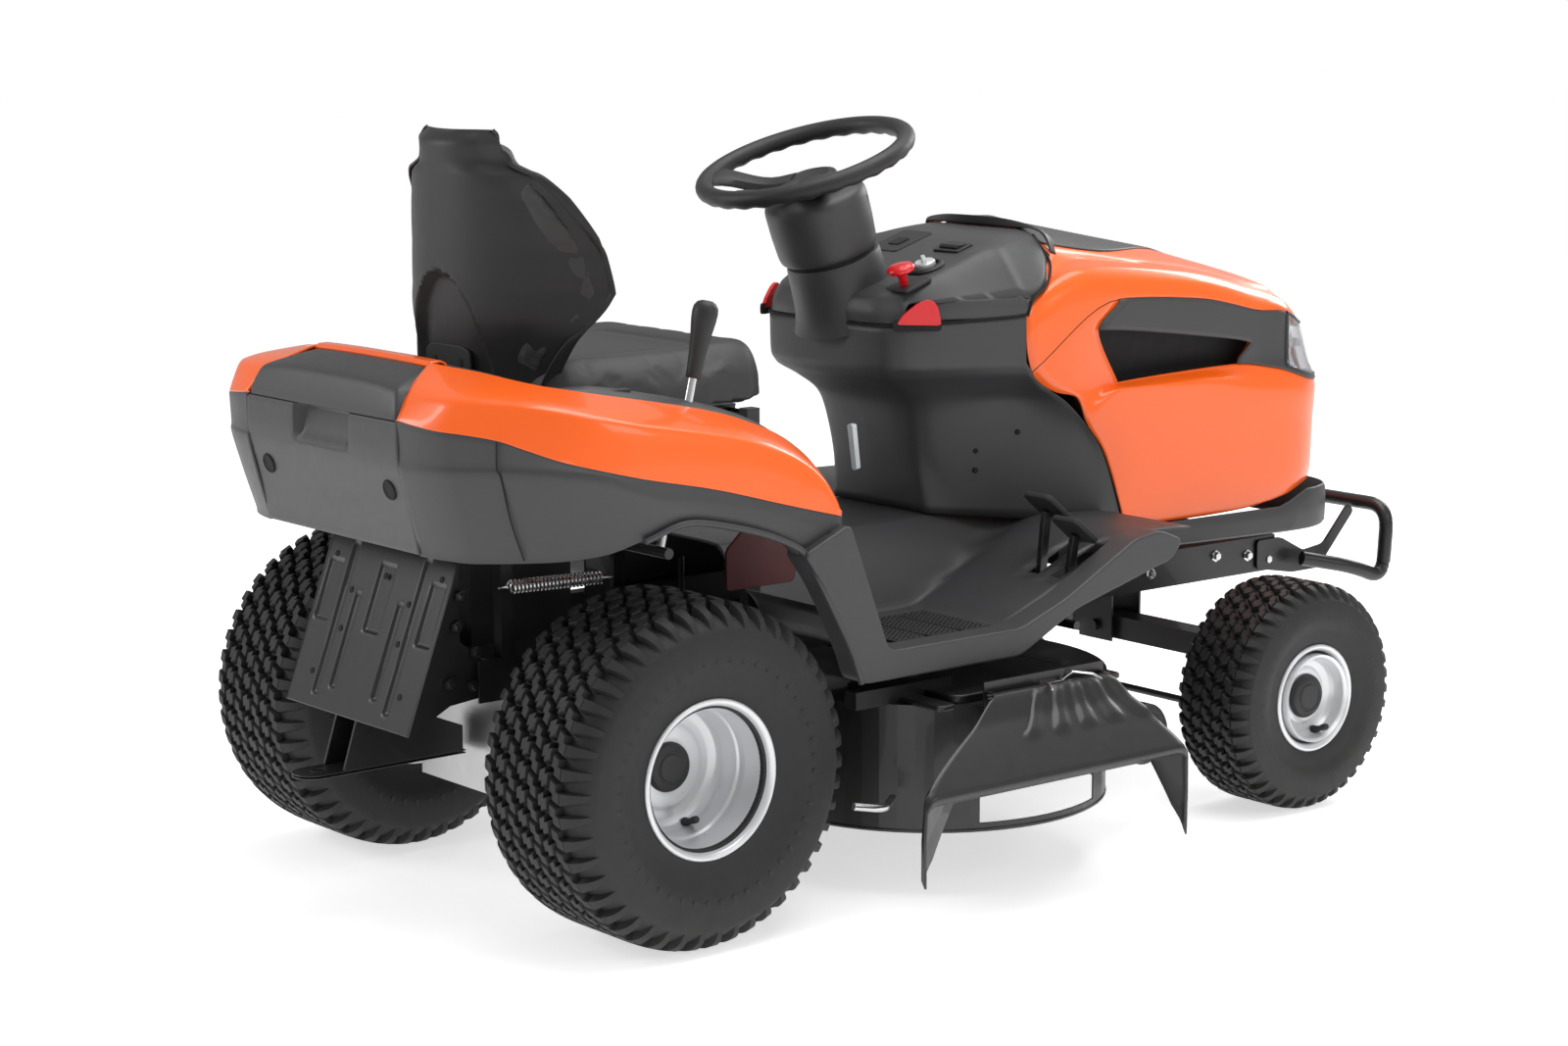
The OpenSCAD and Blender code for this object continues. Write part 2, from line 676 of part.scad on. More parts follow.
module pto_knob() {
    place() color("#e0162b") on_dash(pto_pt) union() {
        translate([0, 0, -34]) cylinder(r = 6, h = 62);
        translate([0, 0, 20]) cylinder(r1 = 8, r2 = 17, h = 8);
        translate([0, 0, 28 - eps]) cylinder(r1 = 17, r2 = 14, h = 7);
    }
}
module ignition_knob() {
    place() color("#c9ccd0") on_dash(ignition_pt) union() {
        translate([0, 0, -12]) cylinder(r = 6, h = 22);
        translate([0, 0, 8 - eps]) cylinder(r = 16, h = 10);
        translate([-2.5, -15, 17]) cube([5, 30, 4]);
    }
}
module light_switch() {
    place() color("#1b1b1c") on_dash(switch_pt)
        side_prism([[-13, -3], [0, -5], [13, -3], [14, 6], [0, 4], [-14, 6]], -10, 10);
}
module throttle_lever() {
    place() color("#1b1b1c") on_dash(throttle_pt) union() {
        block([-4, -2, -12], [4, 2, 34]);
        rod_y(0, 38, -8, 8, 9);
    }
}

// Lift lever: hub on its pin, chrome rod, rubber grip
lever_lean = 14;
module lift_lever() {
    place() color("#2a2b2d") mirror([0, 1, 0]) difference() {
        union() {
            rod_y(lever_x, lever_z, 326, 354, 16);
            translate([lever_x, 340, lever_z]) rotate([0, lever_lean, 0]) {
                translate([0, 0, 10]) cylinder(r = 6, h = 270);
                translate([0, 0, 262]) cylinder(r1 = 11, r2 = 19, h = 85);
                translate([0, 0, 347 - eps]) cylinder(r1 = 19, r2 = 9, h = 20);
            }
        }
        rod_y(lever_x, lever_z, 320, 360, lever_pin_r);
    }
}

// Pedal: hub on its pin, arm through the floor, ribbed pad
module pedal(y, top_z) {
    difference() {
        union() {
            rod_y(pedal_x, pedal_z, y - 9, y + 9, 13);
            side_prism([[pedal_x - 6, pedal_z], [pedal_x + 6, pedal_z], [pedal_x + 22, top_z - 6],
                [pedal_x + 10, top_z - 2]], y - 5, y + 5);
            translate([pedal_x + 14, y, top_z]) rotate([0, 40, 0]) union() {
                block([-26, -28, -5], [26, 28, 5]);
                for (i = [-20:10:20]) block([i, -24, 5 - eps], [i + 4, 24, 8]);
            }
        }
        rod_y(pedal_x, pedal_z, y - 20, y + 20, pedal_pin_r);
    }
}
module pedal_forward() { place() color("#1b1b1c") pedal(forward_y, 545); }
module pedal_reverse() { place() color("#1b1b1c") pedal(reverse_y, 515); }
module pedal_brake() { place() color("#1b1b1c") pedal(brake_y, 560); }

// ---------------------------------------------------------------- seat
pan_z = 724;
module seat_pan() {
    place() color("#1d1d1f") difference() {
        union() {
            block([-90, -130, pan_z], [seat_hinge_x + 8, 130, pan_z + plate_t]);
            pair() block([seat_hinge_x - 12, 118, seat_hinge_z - 10],
                [seat_hinge_x + 12, 124, pan_z + 1]);
            pair() rod_z(-60, 100, 700 + gap, pan_z + 1, 12);
            // slide rails of the seat
            pair() block([-80, 96, pan_z + plate_t - eps], [260, 116, pan_z + plate_t + 8]);
        }
        rod_y(seat_hinge_x, seat_hinge_z, -200, 200, seat_pin_r);
    }
}
seat_x = 360;
module seat_shell() {
    w = seat_w / 2;
    z = pan_z + plate_t + 8 + gap;
    place() color("#3b3c3e") difference() {
        hull() pair() {
            side_prism([[-120, z], [seat_x - 60, z], [seat_x - 10, z + 10], [-130, z + 16]], 0, w - 20);
            side_prism([[-132, z + 10], [-60, z + 10], [-30, 900], [-66, 900]], 0, w);
            side_prism([[-66, 900], [-30, 900], [-72, 1080], [-102, 1080]], 0, w - 26);
            side_prism([[-102, 1080], [-72, 1080], [-84, seat_top_z], [-100, seat_top_z]], 0, 92);
        }
        // seat tub: everything ahead of the back and above the base
        hull() pair() {
            side_prism([[-84, z + 17], [seat_x + 40, z + 17], [seat_x + 40, 900], [-52, 900]], 0, w + 10);
            side_prism([[-52, 900], [seat_x, 900], [seat_x, 1300], [-96, 1300]], 0, w + 10);
        }
    }
}
module seat_cushion() {
    w = seat_w / 2 - 8;
    z = pan_z + plate_t + 8 + 18;
    place() color("#303133") hull() pair() {
        plan_prism([[-50, 0], [-50, w], [seat_x - 60, w], [seat_x - 12, w - 50], [seat_x, 0]], z, z + 14);
        plan_prism([[-46, 0], [-46, w - 8], [seat_x - 70, w - 10], [seat_x - 30, w - 60],
            [seat_x - 20, 0]], z + 44, z + 50);
    }
}
// Rear face of the backrest pad at height z, just clear of the seat tub
function back_x(z) = gap - 84 - (z - pan_z - 29) * 12 / 547;
module seat_backrest() {
    w = seat_w / 2;
    place() color("#303133") hull() pair() {
        side_prism([[back_x(830), 830], [-10, 830], [10, 900], [back_x(900), 900]], 0, w - 30);
        side_prism([[back_x(902), 902], [8, 902], [-40, 1070], [back_x(1070), 1070]], 0, w - 34);
        side_prism([[back_x(1072), 1072], [-44, 1072], [-62, seat_top_z - 8],
            [back_x(seat_top_z - 8), seat_top_z - 8]], 0, 84);
    }
}

// ---------------------------------------------------------------- front axle
king_y = 300;
arm_x = 100;
module front_axle() {
    place() color("#1a1a1c") difference() {
        union() {
            block([wheelbase - 25, -king_y, axle_z - 20], [wheelbase + 25, king_y, axle_z + 20]);
            pair() rod_z(wheelbase, king_y, axle_z - 28, axle_z + 32, 18);
            bar([wheelbase - 31, 0, axle_z], [wheelbase + 31, 0, axle_z], 22);
        }
        bar([wheelbase - 50, 0, axle_z], [wheelbase + 50, 0, axle_z], axle_pin_r);
        pair() rod_z(wheelbase, king_y, axle_z - 60, axle_z + 60, 10);
    }
}
module knuckle() {
    low = axle_z - 28 - gap;
    translate([wheelbase, 0, 0]) {
        rod_z(0, king_y, low - 40, axle_z + 33, 10 - run_fit);
        rod_z(0, king_y, axle_z + 32 + gap, axle_z + 42, 15);
        rod_z(0, king_y, low - 40, low, 20);
        rod_y(0, front_tyre_r, king_y, front_track_y + 42, stub_r);
        plan_prism([[-arm_x - 10, king_y - 10], [-arm_x - 10, king_y + 10], [0, king_y + 18],
            [0, king_y - 18]], low - 40, low - 30);
        rod_z(-arm_x, king_y, low - 58, low - 39, 6 - run_fit);
    }
}
module knuckle_left() { place() color("#1a1a1c") knuckle(); }
module knuckle_right() { place() color("#1a1a1c") mirror([0, 1, 0]) knuckle(); }
module tie_rod() {
    z = axle_z - 28 - gap - 50;
    place() color("#1a1a1c") difference() {
        union() {
            pair() rod_z(wheelbase - arm_x, king_y, z - 6, z + 6, 12);
            rod_y(wheelbase - arm_x, z, -king_y + 8, king_y - 8, 6);
        }
        rod_z(wheelbase - arm_x, king_y, z - 20, z + 20, 6);
        rod_z(wheelbase - arm_x, -king_y, z - 20, z + 20, 6.3);
    }
}

// ---------------------------------------------------------------- wheels
// Local Z runs outwards along the axle from the wheel's middle
module on_axle(x, y, z) {
    place() translate([x, y, z]) rotate([y > 0 ? -90 : 90, 0, 0]) children();
}
module tyre(r, w, flange_r, bead_r, bead_w) {
    h = w / 2;
    b = bead_w / 2;
    s = r - bead_r;
    rotate_extrude($fn = 96) difference() {
        polygon([[bead_r, -b], [flange_r + 1, -b], [flange_r + 5, -b - 5], [bead_r + s * 0.4, -h + 2], [bead_r + s * 0.6, -h],
            [r - s * 0.14, -h + 10], [r - 5, -h * 0.72], [r, -h * 0.42], [r, h * 0.42], [r - 5, h * 0.72],
            [r - s * 0.14, h - 10], [bead_r + s * 0.6, h], [bead_r + s * 0.4, h - 2], [flange_r + 5, b + 5],
            [flange_r + 1, b], [bead_r, b]]);
        polygon([[bead_r - 1, -b + 14], [bead_r + s * 0.35, -h + 14], [r - s * 0.3, -h + 14],
            [r - 18, -h * 0.6], [r - 18, h * 0.6], [r - s * 0.3, h - 14], [bead_r + s * 0.35, h - 14],
            [bead_r - 1, b - 14]]);
    }
}
module rim(flange_r, bead_w, disc_z, hub_r, hub_in, hub_out, bore_r) {
    b = bead_w / 2;
    well = flange_r - 18;
    rotate_extrude($fn = 96) polygon([[well - 3, -b + 3], [well, -b], [flange_r, -b], [flange_r, -b + 3],
        [well, -b + 6], [well, b - 6], [flange_r, b - 3], [flange_r, b], [well, b], [well - 3, b - 3],
        [well - 3, disc_z + 4], [hub_r, disc_z + 4], [hub_r, hub_out], [bore_r, hub_out],
        [bore_r, hub_in], [hub_r, hub_in], [hub_r, disc_z], [well - 3, disc_z]]);
}
rear_bead = 214;
front_bead = 136;
module rear_rim() {
    rim(rear_flange_r, rear_bead, -12, 24, -56, 0, 0);
    // axle shaft that turns with the wheel
    translate([0, 0, 95 - rear_track_y]) cylinder(r = rear_shaft_r, h = rear_track_y - 96);
}
module front_rim() { rim(front_flange_r, front_bead, 26, 20, -70, 42.5, stub_r + run_fit); }
module hub_cap(z, r_in) {
    difference() {
        union() {
            translate([0, 0, z]) cylinder(r = 36, h = 8);
            translate([0, 0, z + 8 - eps]) cylinder(r1 = 34, r2 = 30, h = 4);
        }
        translate([0, 0, z - 1]) cylinder(r = r_in, h = 6);
    }
}
module rear_tyre() { tyre(rear_tyre_r, rear_tyre_w, rear_flange_r, rear_flange_r - 17.7, rear_bead - 13); }
module front_tyre() { tyre(front_tyre_r, front_tyre_w, front_flange_r, front_flange_r - 17.7, front_bead - 13); }
module tyre_rear_left() { color("#262628") on_axle(0, rear_track_y, rear_tyre_r) rear_tyre(); }
module tyre_rear_right() { color("#262628") on_axle(0, -rear_track_y, rear_tyre_r) rear_tyre(); }
module tyre_front_left() { color("#262628") on_axle(wheelbase, front_track_y, front_tyre_r) front_tyre(); }
module tyre_front_right() { color("#262628") on_axle(wheelbase, -front_track_y, front_tyre_r) front_tyre(); }
module rim_rear_left() { color("#d4d6d8") on_axle(0, rear_track_y, rear_tyre_r) rear_rim(); }
module rim_rear_right() { color("#d4d6d8") on_axle(0, -rear_track_y, rear_tyre_r) rear_rim(); }
module rim_front_left() { color("#d4d6d8") on_axle(wheelbase, front_track_y, front_tyre_r) front_rim(); }
module rim_front_right() { color("#d4d6d8") on_axle(wheelbase, -front_track_y, front_tyre_r) front_rim(); }
module hub_cap_rear_left() { color("#222223") on_axle(0, rear_track_y, rear_tyre_r) hub_cap(gap, 0.1); }
module hub_cap_rear_right() { color("#222223") on_axle(0, -rear_track_y, rear_tyre_r) hub_cap(gap, 0.1); }
module hub_cap_front_left() {
    color("#222223") on_axle(wheelbase, front_track_y, front_tyre_r) hub_cap(42.5 + gap, 0.1);
}
module hub_cap_front_right() {
    color("#222223") on_axle(wheelbase, -front_track_y, front_tyre_r) hub_cap(42.5 + gap, 0.1);
}

// ---------------------------------------------------------------- mowing deck
function spindle(side) = [deck_xc - side * spindle_stagger, side * spindle_y];
chute_x0 = 474;
chute_x1 = 730;
deflector_hinge_z = 316;
module deck_plan(d) {
    hull() for (s = [-1, 1]) translate([deck_xc, s * spindle_y]) circle(r = deck_r - d, $fn = 64);
}
module deck_shell() {
    y = spindle_y + deck_r - 16;
    place() color("#1b1b1d") difference() {
        union() {
            translate([0, 0, deck_z]) linear_extrude(deck_h) deck_plan(0);
            // raised housing over the chute
            block([chute_x0 - 160, -430, deck_top_z - 1], [chute_x0 + 30, -404, deck_top_z + 26]);
            // hinge bracket of the deflector and its pin
            block([chute_x0 + 4, -y - 3, deck_top_z - 20], [chute_x1 - 4, -y, deflector_hinge_z + 20]);
            block([chute_x0 + 4, -y, deck_top_z - 6], [chute_x1 - 4, -y + 60, deck_top_z - 1]);
            for (x = [chute_x0 + 6, chute_x1 - 16])
                block([x, -y - 14, deflector_hinge_z - 6], [x + 8, -y - 1, deflector_hinge_z + 6]);
            bar([chute_x0, -y - 12, deflector_hinge_z], [chute_x1, -y - 12, deflector_hinge_z], 4 - run_fit);
            // hanger rods
            pair() for (x = hanger_x)
                rod_z(x, hanger_y, deck_top_z - 1, rail_z + plate_t + deck_travel + 20, hanger_r);
            // spindle housings
            for (s = [-1, 1]) rod_z(spindle(s).x, spindle(s).y, deck_top_z - 46, deck_top_z + 3, 24);
            // brackets and axles of the gauge wheels
            pair() {
                block([850, 384, 150], [952, 390, 190]);
                rod_y(935, 168, 389, 426, 6 - run_fit);
            }
        }
        difference() {
            translate([0, 0, deck_z - 1]) linear_extrude(deck_h - 2) deck_plan(3);
            for (s = [-1, 1]) rod_z(spindle(s).x, spindle(s).y, deck_top_z - 46, deck_top_z, 24);
        }
        for (s = [-1, 1]) rod_z(spindle(s).x, spindle(s).y, deck_z, deck_top_z + 60, 10);
        // discharge chute
        block([chute_x0 + 10, -700, deck_z + 12], [chute_x1 - 10, -spindle_y - deck_r + 120, deck_top_z - 24]);
    }
}
module deck_belt() {
    a = [spindle(1).x, spindle(1).y];
    b = [spindle(-1).x, spindle(-1).y];
    place() color("#151515") translate([0, 0, deck_top_z + 10]) linear_extrude(9) difference() {
        hull() { translate(a) circle(r = 58, $fn = 32); translate(b) circle(r = 58, $fn = 32); }
        hull() { translate(a) circle(r = 51, $fn = 32); translate(b) circle(r = 51, $fn = 32); }
    }
}
module blade(side) {
    p = spindle(side);
    translate([p.x, p.y, 0]) {
        rod_z(0, 0, deck_z + 16, deck_top_z + 20, 10 - run_fit);
        rod_z(0, 0, deck_top_z + 3 + gap, deck_top_z + 24, 22);
        rod_z(0, 0, deck_top_z + 8, deck_top_z + 10 - gap, 56);
        rod_z(0, 0, deck_top_z + 9, deck_top_z + 19.5, 50);
        rotate([0, 0, 25]) {
            block([-blade_r, -28, deck_z + 18], [blade_r, 28, deck_z + 23]);
            for (s = [-1, 1]) block([s * (blade_r - 35) - 35, s * 24 - 3, deck_z + 20],
                [s * (blade_r - 35) + 35, s * 24 + 3, deck_z + 38]);
        }
        rod_z(0, 0, deck_z + 6, deck_z + 19, 16);
    }
}
module blade_left() { place() color("#77797c") blade(1); }
module blade_right() { place() color("#77797c") blade(-1); }
module gauge_wheel(side) {
    place() color("#1b1b1c") translate([935, side * 408, 168]) rotate([90, 0, 0])
        rotate_extrude() polygon([[6, -16], [44, -16], [50, -10], [50, 10], [44, 16], [6, 16]]);
}
module gauge_wheel_left() { gauge_wheel(1); }
module gauge_wheel_right() { gauge_wheel(-1); }

// Moulded deflector: sloping roof, two side walls and the knuckles on its hinge pin
module deflector() {
    hy = -(spindle_y + deck_r - 16) - 12;
    out = -deflector_y;
    roof = 222;
    t = 6;
    place() color("#1d1d1f") difference() {
        union() {
            hull() {
                block([chute_x0 + 28, hy - 4, deflector_hinge_z + 4], [chute_x1 - 30, hy, deflector_hinge_z + 7]);
                block([chute_x0 - 40, hy - 30, deflector_hinge_z - 40], [chute_x1 + 34, hy - 26,
                    deflector_hinge_z - 36]);
                block([262, out, roof], [792, out + 4, roof + 5]);
            }
            rod_x_knuckles(hy);
            // side walls
            hull() {
                block([262, out, 84], [262 + t, out + 26, roof + 2]);
                block([chute_x0 - 40, hy - 28, 190], [chute_x0 - 34, hy - 24, deflector_hinge_z - 40]);
            }
            hull() {
                block([792 - t, out, 84], [792, out + 26, roof + 2]);
                block([chute_x1 + 28, hy - 28, 190], [chute_x1 + 34, hy - 24, deflector_hinge_z - 40]);
            }
        }
        hull() {
            block([chute_x0 + 10, hy + 20, deflector_hinge_z - 60], [chute_x1 - 10, hy + 21,
                deflector_hinge_z - 14]);
            block([268, out - 10, 60], [792 - t, out - 9, roof - 2]);
        }
        bar([chute_x0 - 40, hy, deflector_hinge_z], [chute_x1 + 40, hy, deflector_hinge_z], 4);
    }
}
module rod_x_knuckles(hy) {
    for (x = [chute_x0 + 22, chute_x1 - 66])
        bar([x, hy, deflector_hinge_z], [x + 40, hy, deflector_hinge_z], 8);
}

frame();
rear_plate();
bumper();
transaxle();
engine();
fuel_tank();
battery();
fender_shell();
fender_skirt();
fender_trim();
footrest();
foot_mats();
console_lower();
console_upper();
column_shroud();
front_valance();
hood_shell();
hood_cover();
vent_trim();
headlamps();
rear_lid();
latch_right();
latch_left();
steering_shaft();
steering_wheel();
tie_rod();
front_axle();
knuckle_left();
knuckle_right();
tyre_rear_left();
tyre_rear_right();
tyre_front_left();
tyre_front_right();
rim_rear_left();
rim_rear_right();
rim_front_left();
rim_front_right();
hub_cap_rear_left();
hub_cap_rear_right();
hub_cap_front_left();
hub_cap_front_right();
pto_knob();
ignition_knob();
light_switch();
throttle_lever();
lift_lever();
seat_pan();
seat_shell();
seat_cushion();
seat_backrest();
pedal_forward();
pedal_reverse();
pedal_brake();
deck_shell();
deck_belt();
deflector();
blade_left();
blade_right();
gauge_wheel_left();
gauge_wheel_right();
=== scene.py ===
"""Looks of the lawn tractor: body panels, seat, wheels, controls, mowing deck and studio.

Every shape is worked out in the machine's own millimetres: x forward from the rear axle, y to the
driver's left, z up from the ground. ``Shop.place`` turns them into the row frame's metres.
"""

import json
import logging
import math
from dataclasses import dataclass, field
from enum import Enum
from typing import Iterable, Sequence

import bmesh
import bpy
import numpy as np
from mathutils import Matrix, Vector


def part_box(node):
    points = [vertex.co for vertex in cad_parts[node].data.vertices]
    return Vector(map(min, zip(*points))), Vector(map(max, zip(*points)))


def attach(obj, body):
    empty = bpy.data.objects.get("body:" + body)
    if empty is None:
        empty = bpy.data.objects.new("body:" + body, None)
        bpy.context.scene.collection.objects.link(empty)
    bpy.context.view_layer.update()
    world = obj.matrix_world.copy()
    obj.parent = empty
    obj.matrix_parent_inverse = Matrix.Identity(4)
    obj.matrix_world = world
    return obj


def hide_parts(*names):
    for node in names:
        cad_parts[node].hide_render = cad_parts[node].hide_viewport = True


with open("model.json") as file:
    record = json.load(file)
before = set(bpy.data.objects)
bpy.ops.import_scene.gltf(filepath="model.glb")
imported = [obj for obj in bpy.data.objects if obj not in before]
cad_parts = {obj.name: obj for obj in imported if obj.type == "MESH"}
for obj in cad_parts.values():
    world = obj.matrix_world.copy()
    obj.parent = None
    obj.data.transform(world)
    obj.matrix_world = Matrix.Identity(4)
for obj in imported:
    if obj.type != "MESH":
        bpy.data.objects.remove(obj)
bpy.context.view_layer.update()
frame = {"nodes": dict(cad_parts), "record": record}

LOG = logging.getLogger("tractor")


# --------------------------------------------------------------------------- finishes
class Grain(Enum):
    """Relief of a surface."""

    SMOOTH = "smooth"
    MOULDED = "moulded"
    CAST = "cast"
    BRUSHED = "brushed"
    LEATHER = "leather"


@dataclass(frozen=True)
class Finish:
    """One finish, made into a node material the first time that it is used.

    The base colour drifts slowly between two shades, the roughness follows a second, finer noise,
    and a grain field gives the bump.
    """

    name: str
    slot: str
    colour: tuple[float, float, float]
    rough: float
    metal: float = 0.0
    coat: float = 0.0
    grain: Grain = Grain.SMOOTH
    grain_scale: float = 900.0
    grain_depth: float = 0.00004
    mottle: float = 0.08
    dust: float = 0.0
    see_through: float = 0.0

    def material(self) -> bpy.types.Material:
        """The material of this finish.

        Returns:
            The existing material of this name, or a new one.
        """
        found = bpy.data.materials.get(self.name)
        if found:
            return found
        mat = bpy.data.materials.new(self.name)
        mat.use_nodes = True
        tree = mat.node_tree
        tree.nodes.clear()
        link = tree.links.new
        out = tree.nodes.new("ShaderNodeOutputMaterial")
        skin = tree.nodes.new("ShaderNodeBsdfPrincipled")
        link(skin.outputs[0], out.inputs[0])
        skin.inputs["Metallic"].default_value = self.metal
        skin.inputs["Coat Weight"].default_value = self.coat
        skin.inputs["Coat Roughness"].default_value = 0.04
        skin.inputs["Transmission Weight"].default_value = self.see_through
        spot = tree.nodes.new("ShaderNodeTexCoord")
        drift = self._noise(tree, spot, 7.0, 3.0)
        shades = tree.nodes.new("ShaderNodeMix")
        shades.data_type = "RGBA"
        dark = tuple(c * (1.0 - self.mottle) for c in self.colour)
        light = tuple(min(1.0, c * (1.0 + self.mottle)) for c in self.colour)
        shades.inputs[6].default_value = (*dark, 1.0)
        shades.inputs[7].default_value = (*light, 1.0)
        link(drift, shades.inputs[0])
        colour = shades.outputs[2]
        if self.dust > 0:
            colour = self._dusted(tree, spot, colour)
        link(colour, skin.inputs["Base Color"])
        span = tree.nodes.new("ShaderNodeMapRange")
        span.inputs["To Min"].default_value = max(0.02, self.rough - 0.06)
        span.inputs["To Max"].default_value = min(1.0, self.rough + 0.08)
        link(self._noise(tree, spot, 60.0, 4.0), span.inputs["Value"])
        link(span.outputs[0], skin.inputs["Roughness"])
        bump = tree.nodes.new("ShaderNodeBump")
        bump.inputs["Strength"].default_value = 1.0
        bump.inputs["Distance"].default_value = self.grain_depth
        link(self._relief(tree, spot), bump.inputs["Height"])
        link(bump.outputs[0], skin.inputs["Normal"])
        return mat

    def _noise(self, tree: bpy.types.NodeTree, spot: bpy.types.Node, scale: float,
               detail: float) -> bpy.types.NodeSocket:
        """A noise field over the piece's own coordinates.

        Args:
            tree: Node tree of the material.
            spot: Texture coordinate node.
            scale: Cells per metre.
            detail: Octaves of detail.

        Returns:
            The factor socket of the noise.
        """
        noise = tree.nodes.new("ShaderNodeTexNoise")
        noise.inputs["Scale"].default_value = scale
        noise.inputs["Detail"].default_value = detail
        tree.links.new(spot.outputs["Object"], noise.inputs["Vector"])
        return noise.outputs[0]

    def _relief(self, tree: bpy.types.NodeTree, spot: bpy.types.Node) -> bpy.types.NodeSocket:
        """Height field of the grain: noise, cells, or noise drawn out along one axis.

        Args:
            tree: Node tree of the material.
            spot: Texture coordinate node.

        Returns:
            A socket with the height.
        """
        if self.grain is Grain.LEATHER:
            cells = tree.nodes.new("ShaderNodeTexVoronoi")
            cells.inputs["Scale"].default_value = self.grain_scale
            tree.links.new(spot.outputs["Object"], cells.inputs["Vector"])
            return cells.outputs["Distance"]
        if self.grain is Grain.BRUSHED:
            stretch = tree.nodes.new("ShaderNodeMapping")
            stretch.inputs["Scale"].default_value = (0.06, 1.0, 1.0)
            tree.links.new(spot.outputs["Object"], stretch.inputs["Vector"])
            noise = tree.nodes.new("ShaderNodeTexNoise")
            noise.inputs["Scale"].default_value = self.grain_scale
            tree.links.new(stretch.outputs[0], noise.inputs["Vector"])
            return noise.outputs[0]
        detail = {Grain.SMOOTH: 1.0, Grain.MOULDED: 4.0, Grain.CAST: 6.0}[self.grain]
        return self._noise(tree, spot, self.grain_scale, detail)

    def _dusted(self, tree: bpy.types.NodeTree, spot: bpy.types.Node,
                colour: bpy.types.NodeSocket) -> bpy.types.NodeSocket:
        """Pale dust that gathers towards the ground: a ramp over the height times a noise.

        Args:
            tree: Node tree of the material.
            spot: Texture coordinate node.
            colour: Socket of the clean colour.

        Returns:
            A socket with the dusted colour.
        """
        link = tree.links.new
        parts = tree.nodes.new("ShaderNodeSeparateXYZ")
        link(spot.outputs["Object"], parts.inputs[0])
        low = tree.nodes.new("ShaderNodeMapRange")
        low.inputs["From Min"].default_value = 0.35
        low.inputs["From Max"].default_value = 0.0
        low.inputs["To Max"].default_value = self.dust
        link(parts.outputs["Z"], low.inputs["Value"])
        times = tree.nodes.new("ShaderNodeMath")
        times.operation = "MULTIPLY"
        link(low.outputs[0], times.inputs[0])
        link(self._noise(tree, spot, 35.0, 5.0), times.inputs[1])
        blend = tree.nodes.new("ShaderNodeMix")
        blend.data_type = "RGBA"
        blend.inputs[7].default_value = (0.16, 0.14, 0.11, 1.0)
        link(times.outputs[0], blend.inputs[0])
        link(colour, blend.inputs[6])
        return blend.outputs[2]

    def dress(self, obj: bpy.types.Object) -> None:
        """Makes this the only material of an object."""
        obj.data.materials.clear()
        obj.data.materials.append(self.material())


PAINT = Finish("orange_gloss", "orange_paint", (1.0, 0.13, 0.004), 0.3, coat=0.45, grain_scale=260.0,
               grain_depth=0.000012, mottle=0.02)
BLACK = Finish("black_powder_coat", "black_paint", (0.008, 0.008, 0.0085), 0.38, coat=0.15,
               grain=Grain.CAST, grain_scale=1400.0, grain_depth=0.00003, dust=0.12)
MOULDING = Finish("grained_moulding", "dark_plastic", (0.042, 0.0425, 0.045), 0.46, grain=Grain.MOULDED,
                  grain_scale=2600.0, grain_depth=0.00006, mottle=0.05)
SOFT_BLACK = Finish("black_moulding", "black_plastic", (0.014, 0.014, 0.0145), 0.5, grain=Grain.MOULDED,
                    grain_scale=2200.0, grain_depth=0.00006)
# Near-black for joints, holes and slots, and also for the painted shade sheet inside the hood vents.
SOCKET_BLACK = Finish("gap_black", "black_plastic", (0.004, 0.004, 0.004), 0.8)
CASTING = Finish("bare_casting", "aluminium", (0.52, 0.52, 0.53), 0.42, metal=1.0, grain=Grain.CAST,
                 grain_scale=500.0, grain_depth=0.0002, dust=0.25)
IRON = Finish("engine_grey", "engine_metal", (0.045, 0.046, 0.05), 0.5, grain=Grain.CAST,
              grain_scale=600.0, grain_depth=0.0001)
TANK = Finish("tank_plastic", "tank_plastic", (0.62, 0.64, 0.66), 0.35, grain_scale=300.0)
MAT_RUBBER = Finish("mat_rubber", "mat_rubber", (0.075, 0.075, 0.077), 0.62, grain=Grain.MOULDED,
                    grain_scale=1500.0, grain_depth=0.00008)
RED = Finish("red_moulding", "red_plastic", (0.72, 0.006, 0.012), 0.28, coat=0.4, grain_scale=400.0,
             grain_depth=0.00001, mottle=0.04)
DARK_RED = Finish("dark_red_paint", "red_plastic", (0.07, 0.001, 0.002), 0.5)
STEEL = Finish("bright_steel", "steel", (0.62, 0.62, 0.63), 0.24, metal=1.0, grain=Grain.BRUSHED,
               grain_scale=900.0, grain_depth=0.00003)
BLADE_STEEL = Finish("blade_steel", "steel", (0.3, 0.3, 0.31), 0.42, metal=1.0, grain=Grain.BRUSHED,
                     grain_scale=700.0, grain_depth=0.00006, dust=0.3)
RIM = Finish("silver_rim", "rim_paint", (0.72, 0.73, 0.745), 0.3, metal=0.35, coat=0.4,
             grain_scale=700.0, grain_depth=0.00002, mottle=0.03)
TYRE = Finish("tyre_rubber", "tyre", (0.009, 0.009, 0.0095), 0.62, grain=Grain.CAST, grain_scale=800.0,
              grain_depth=0.00006, mottle=0.15, dust=0.1)
VINYL = Finish("seat_vinyl", "seat_vinyl", (0.018, 0.018, 0.019), 0.5, grain=Grain.LEATHER,
               grain_scale=620.0, grain_depth=0.00016)
LENS = Finish("lamp_lens", "lamp_glass", (0.95, 0.97, 1.0), 0.03, coat=0.5, see_through=0.96,
              grain_scale=90.0, grain_depth=0.00004, mottle=0.0)
REFLECTOR = Finish("lamp_reflector", "lamp_glass", (0.9, 0.91, 0.92), 0.12, metal=0.9, grain_scale=220.0)
BELT = Finish("belt_rubber", "belt_rubber", (0.012, 0.012, 0.012), 0.7)


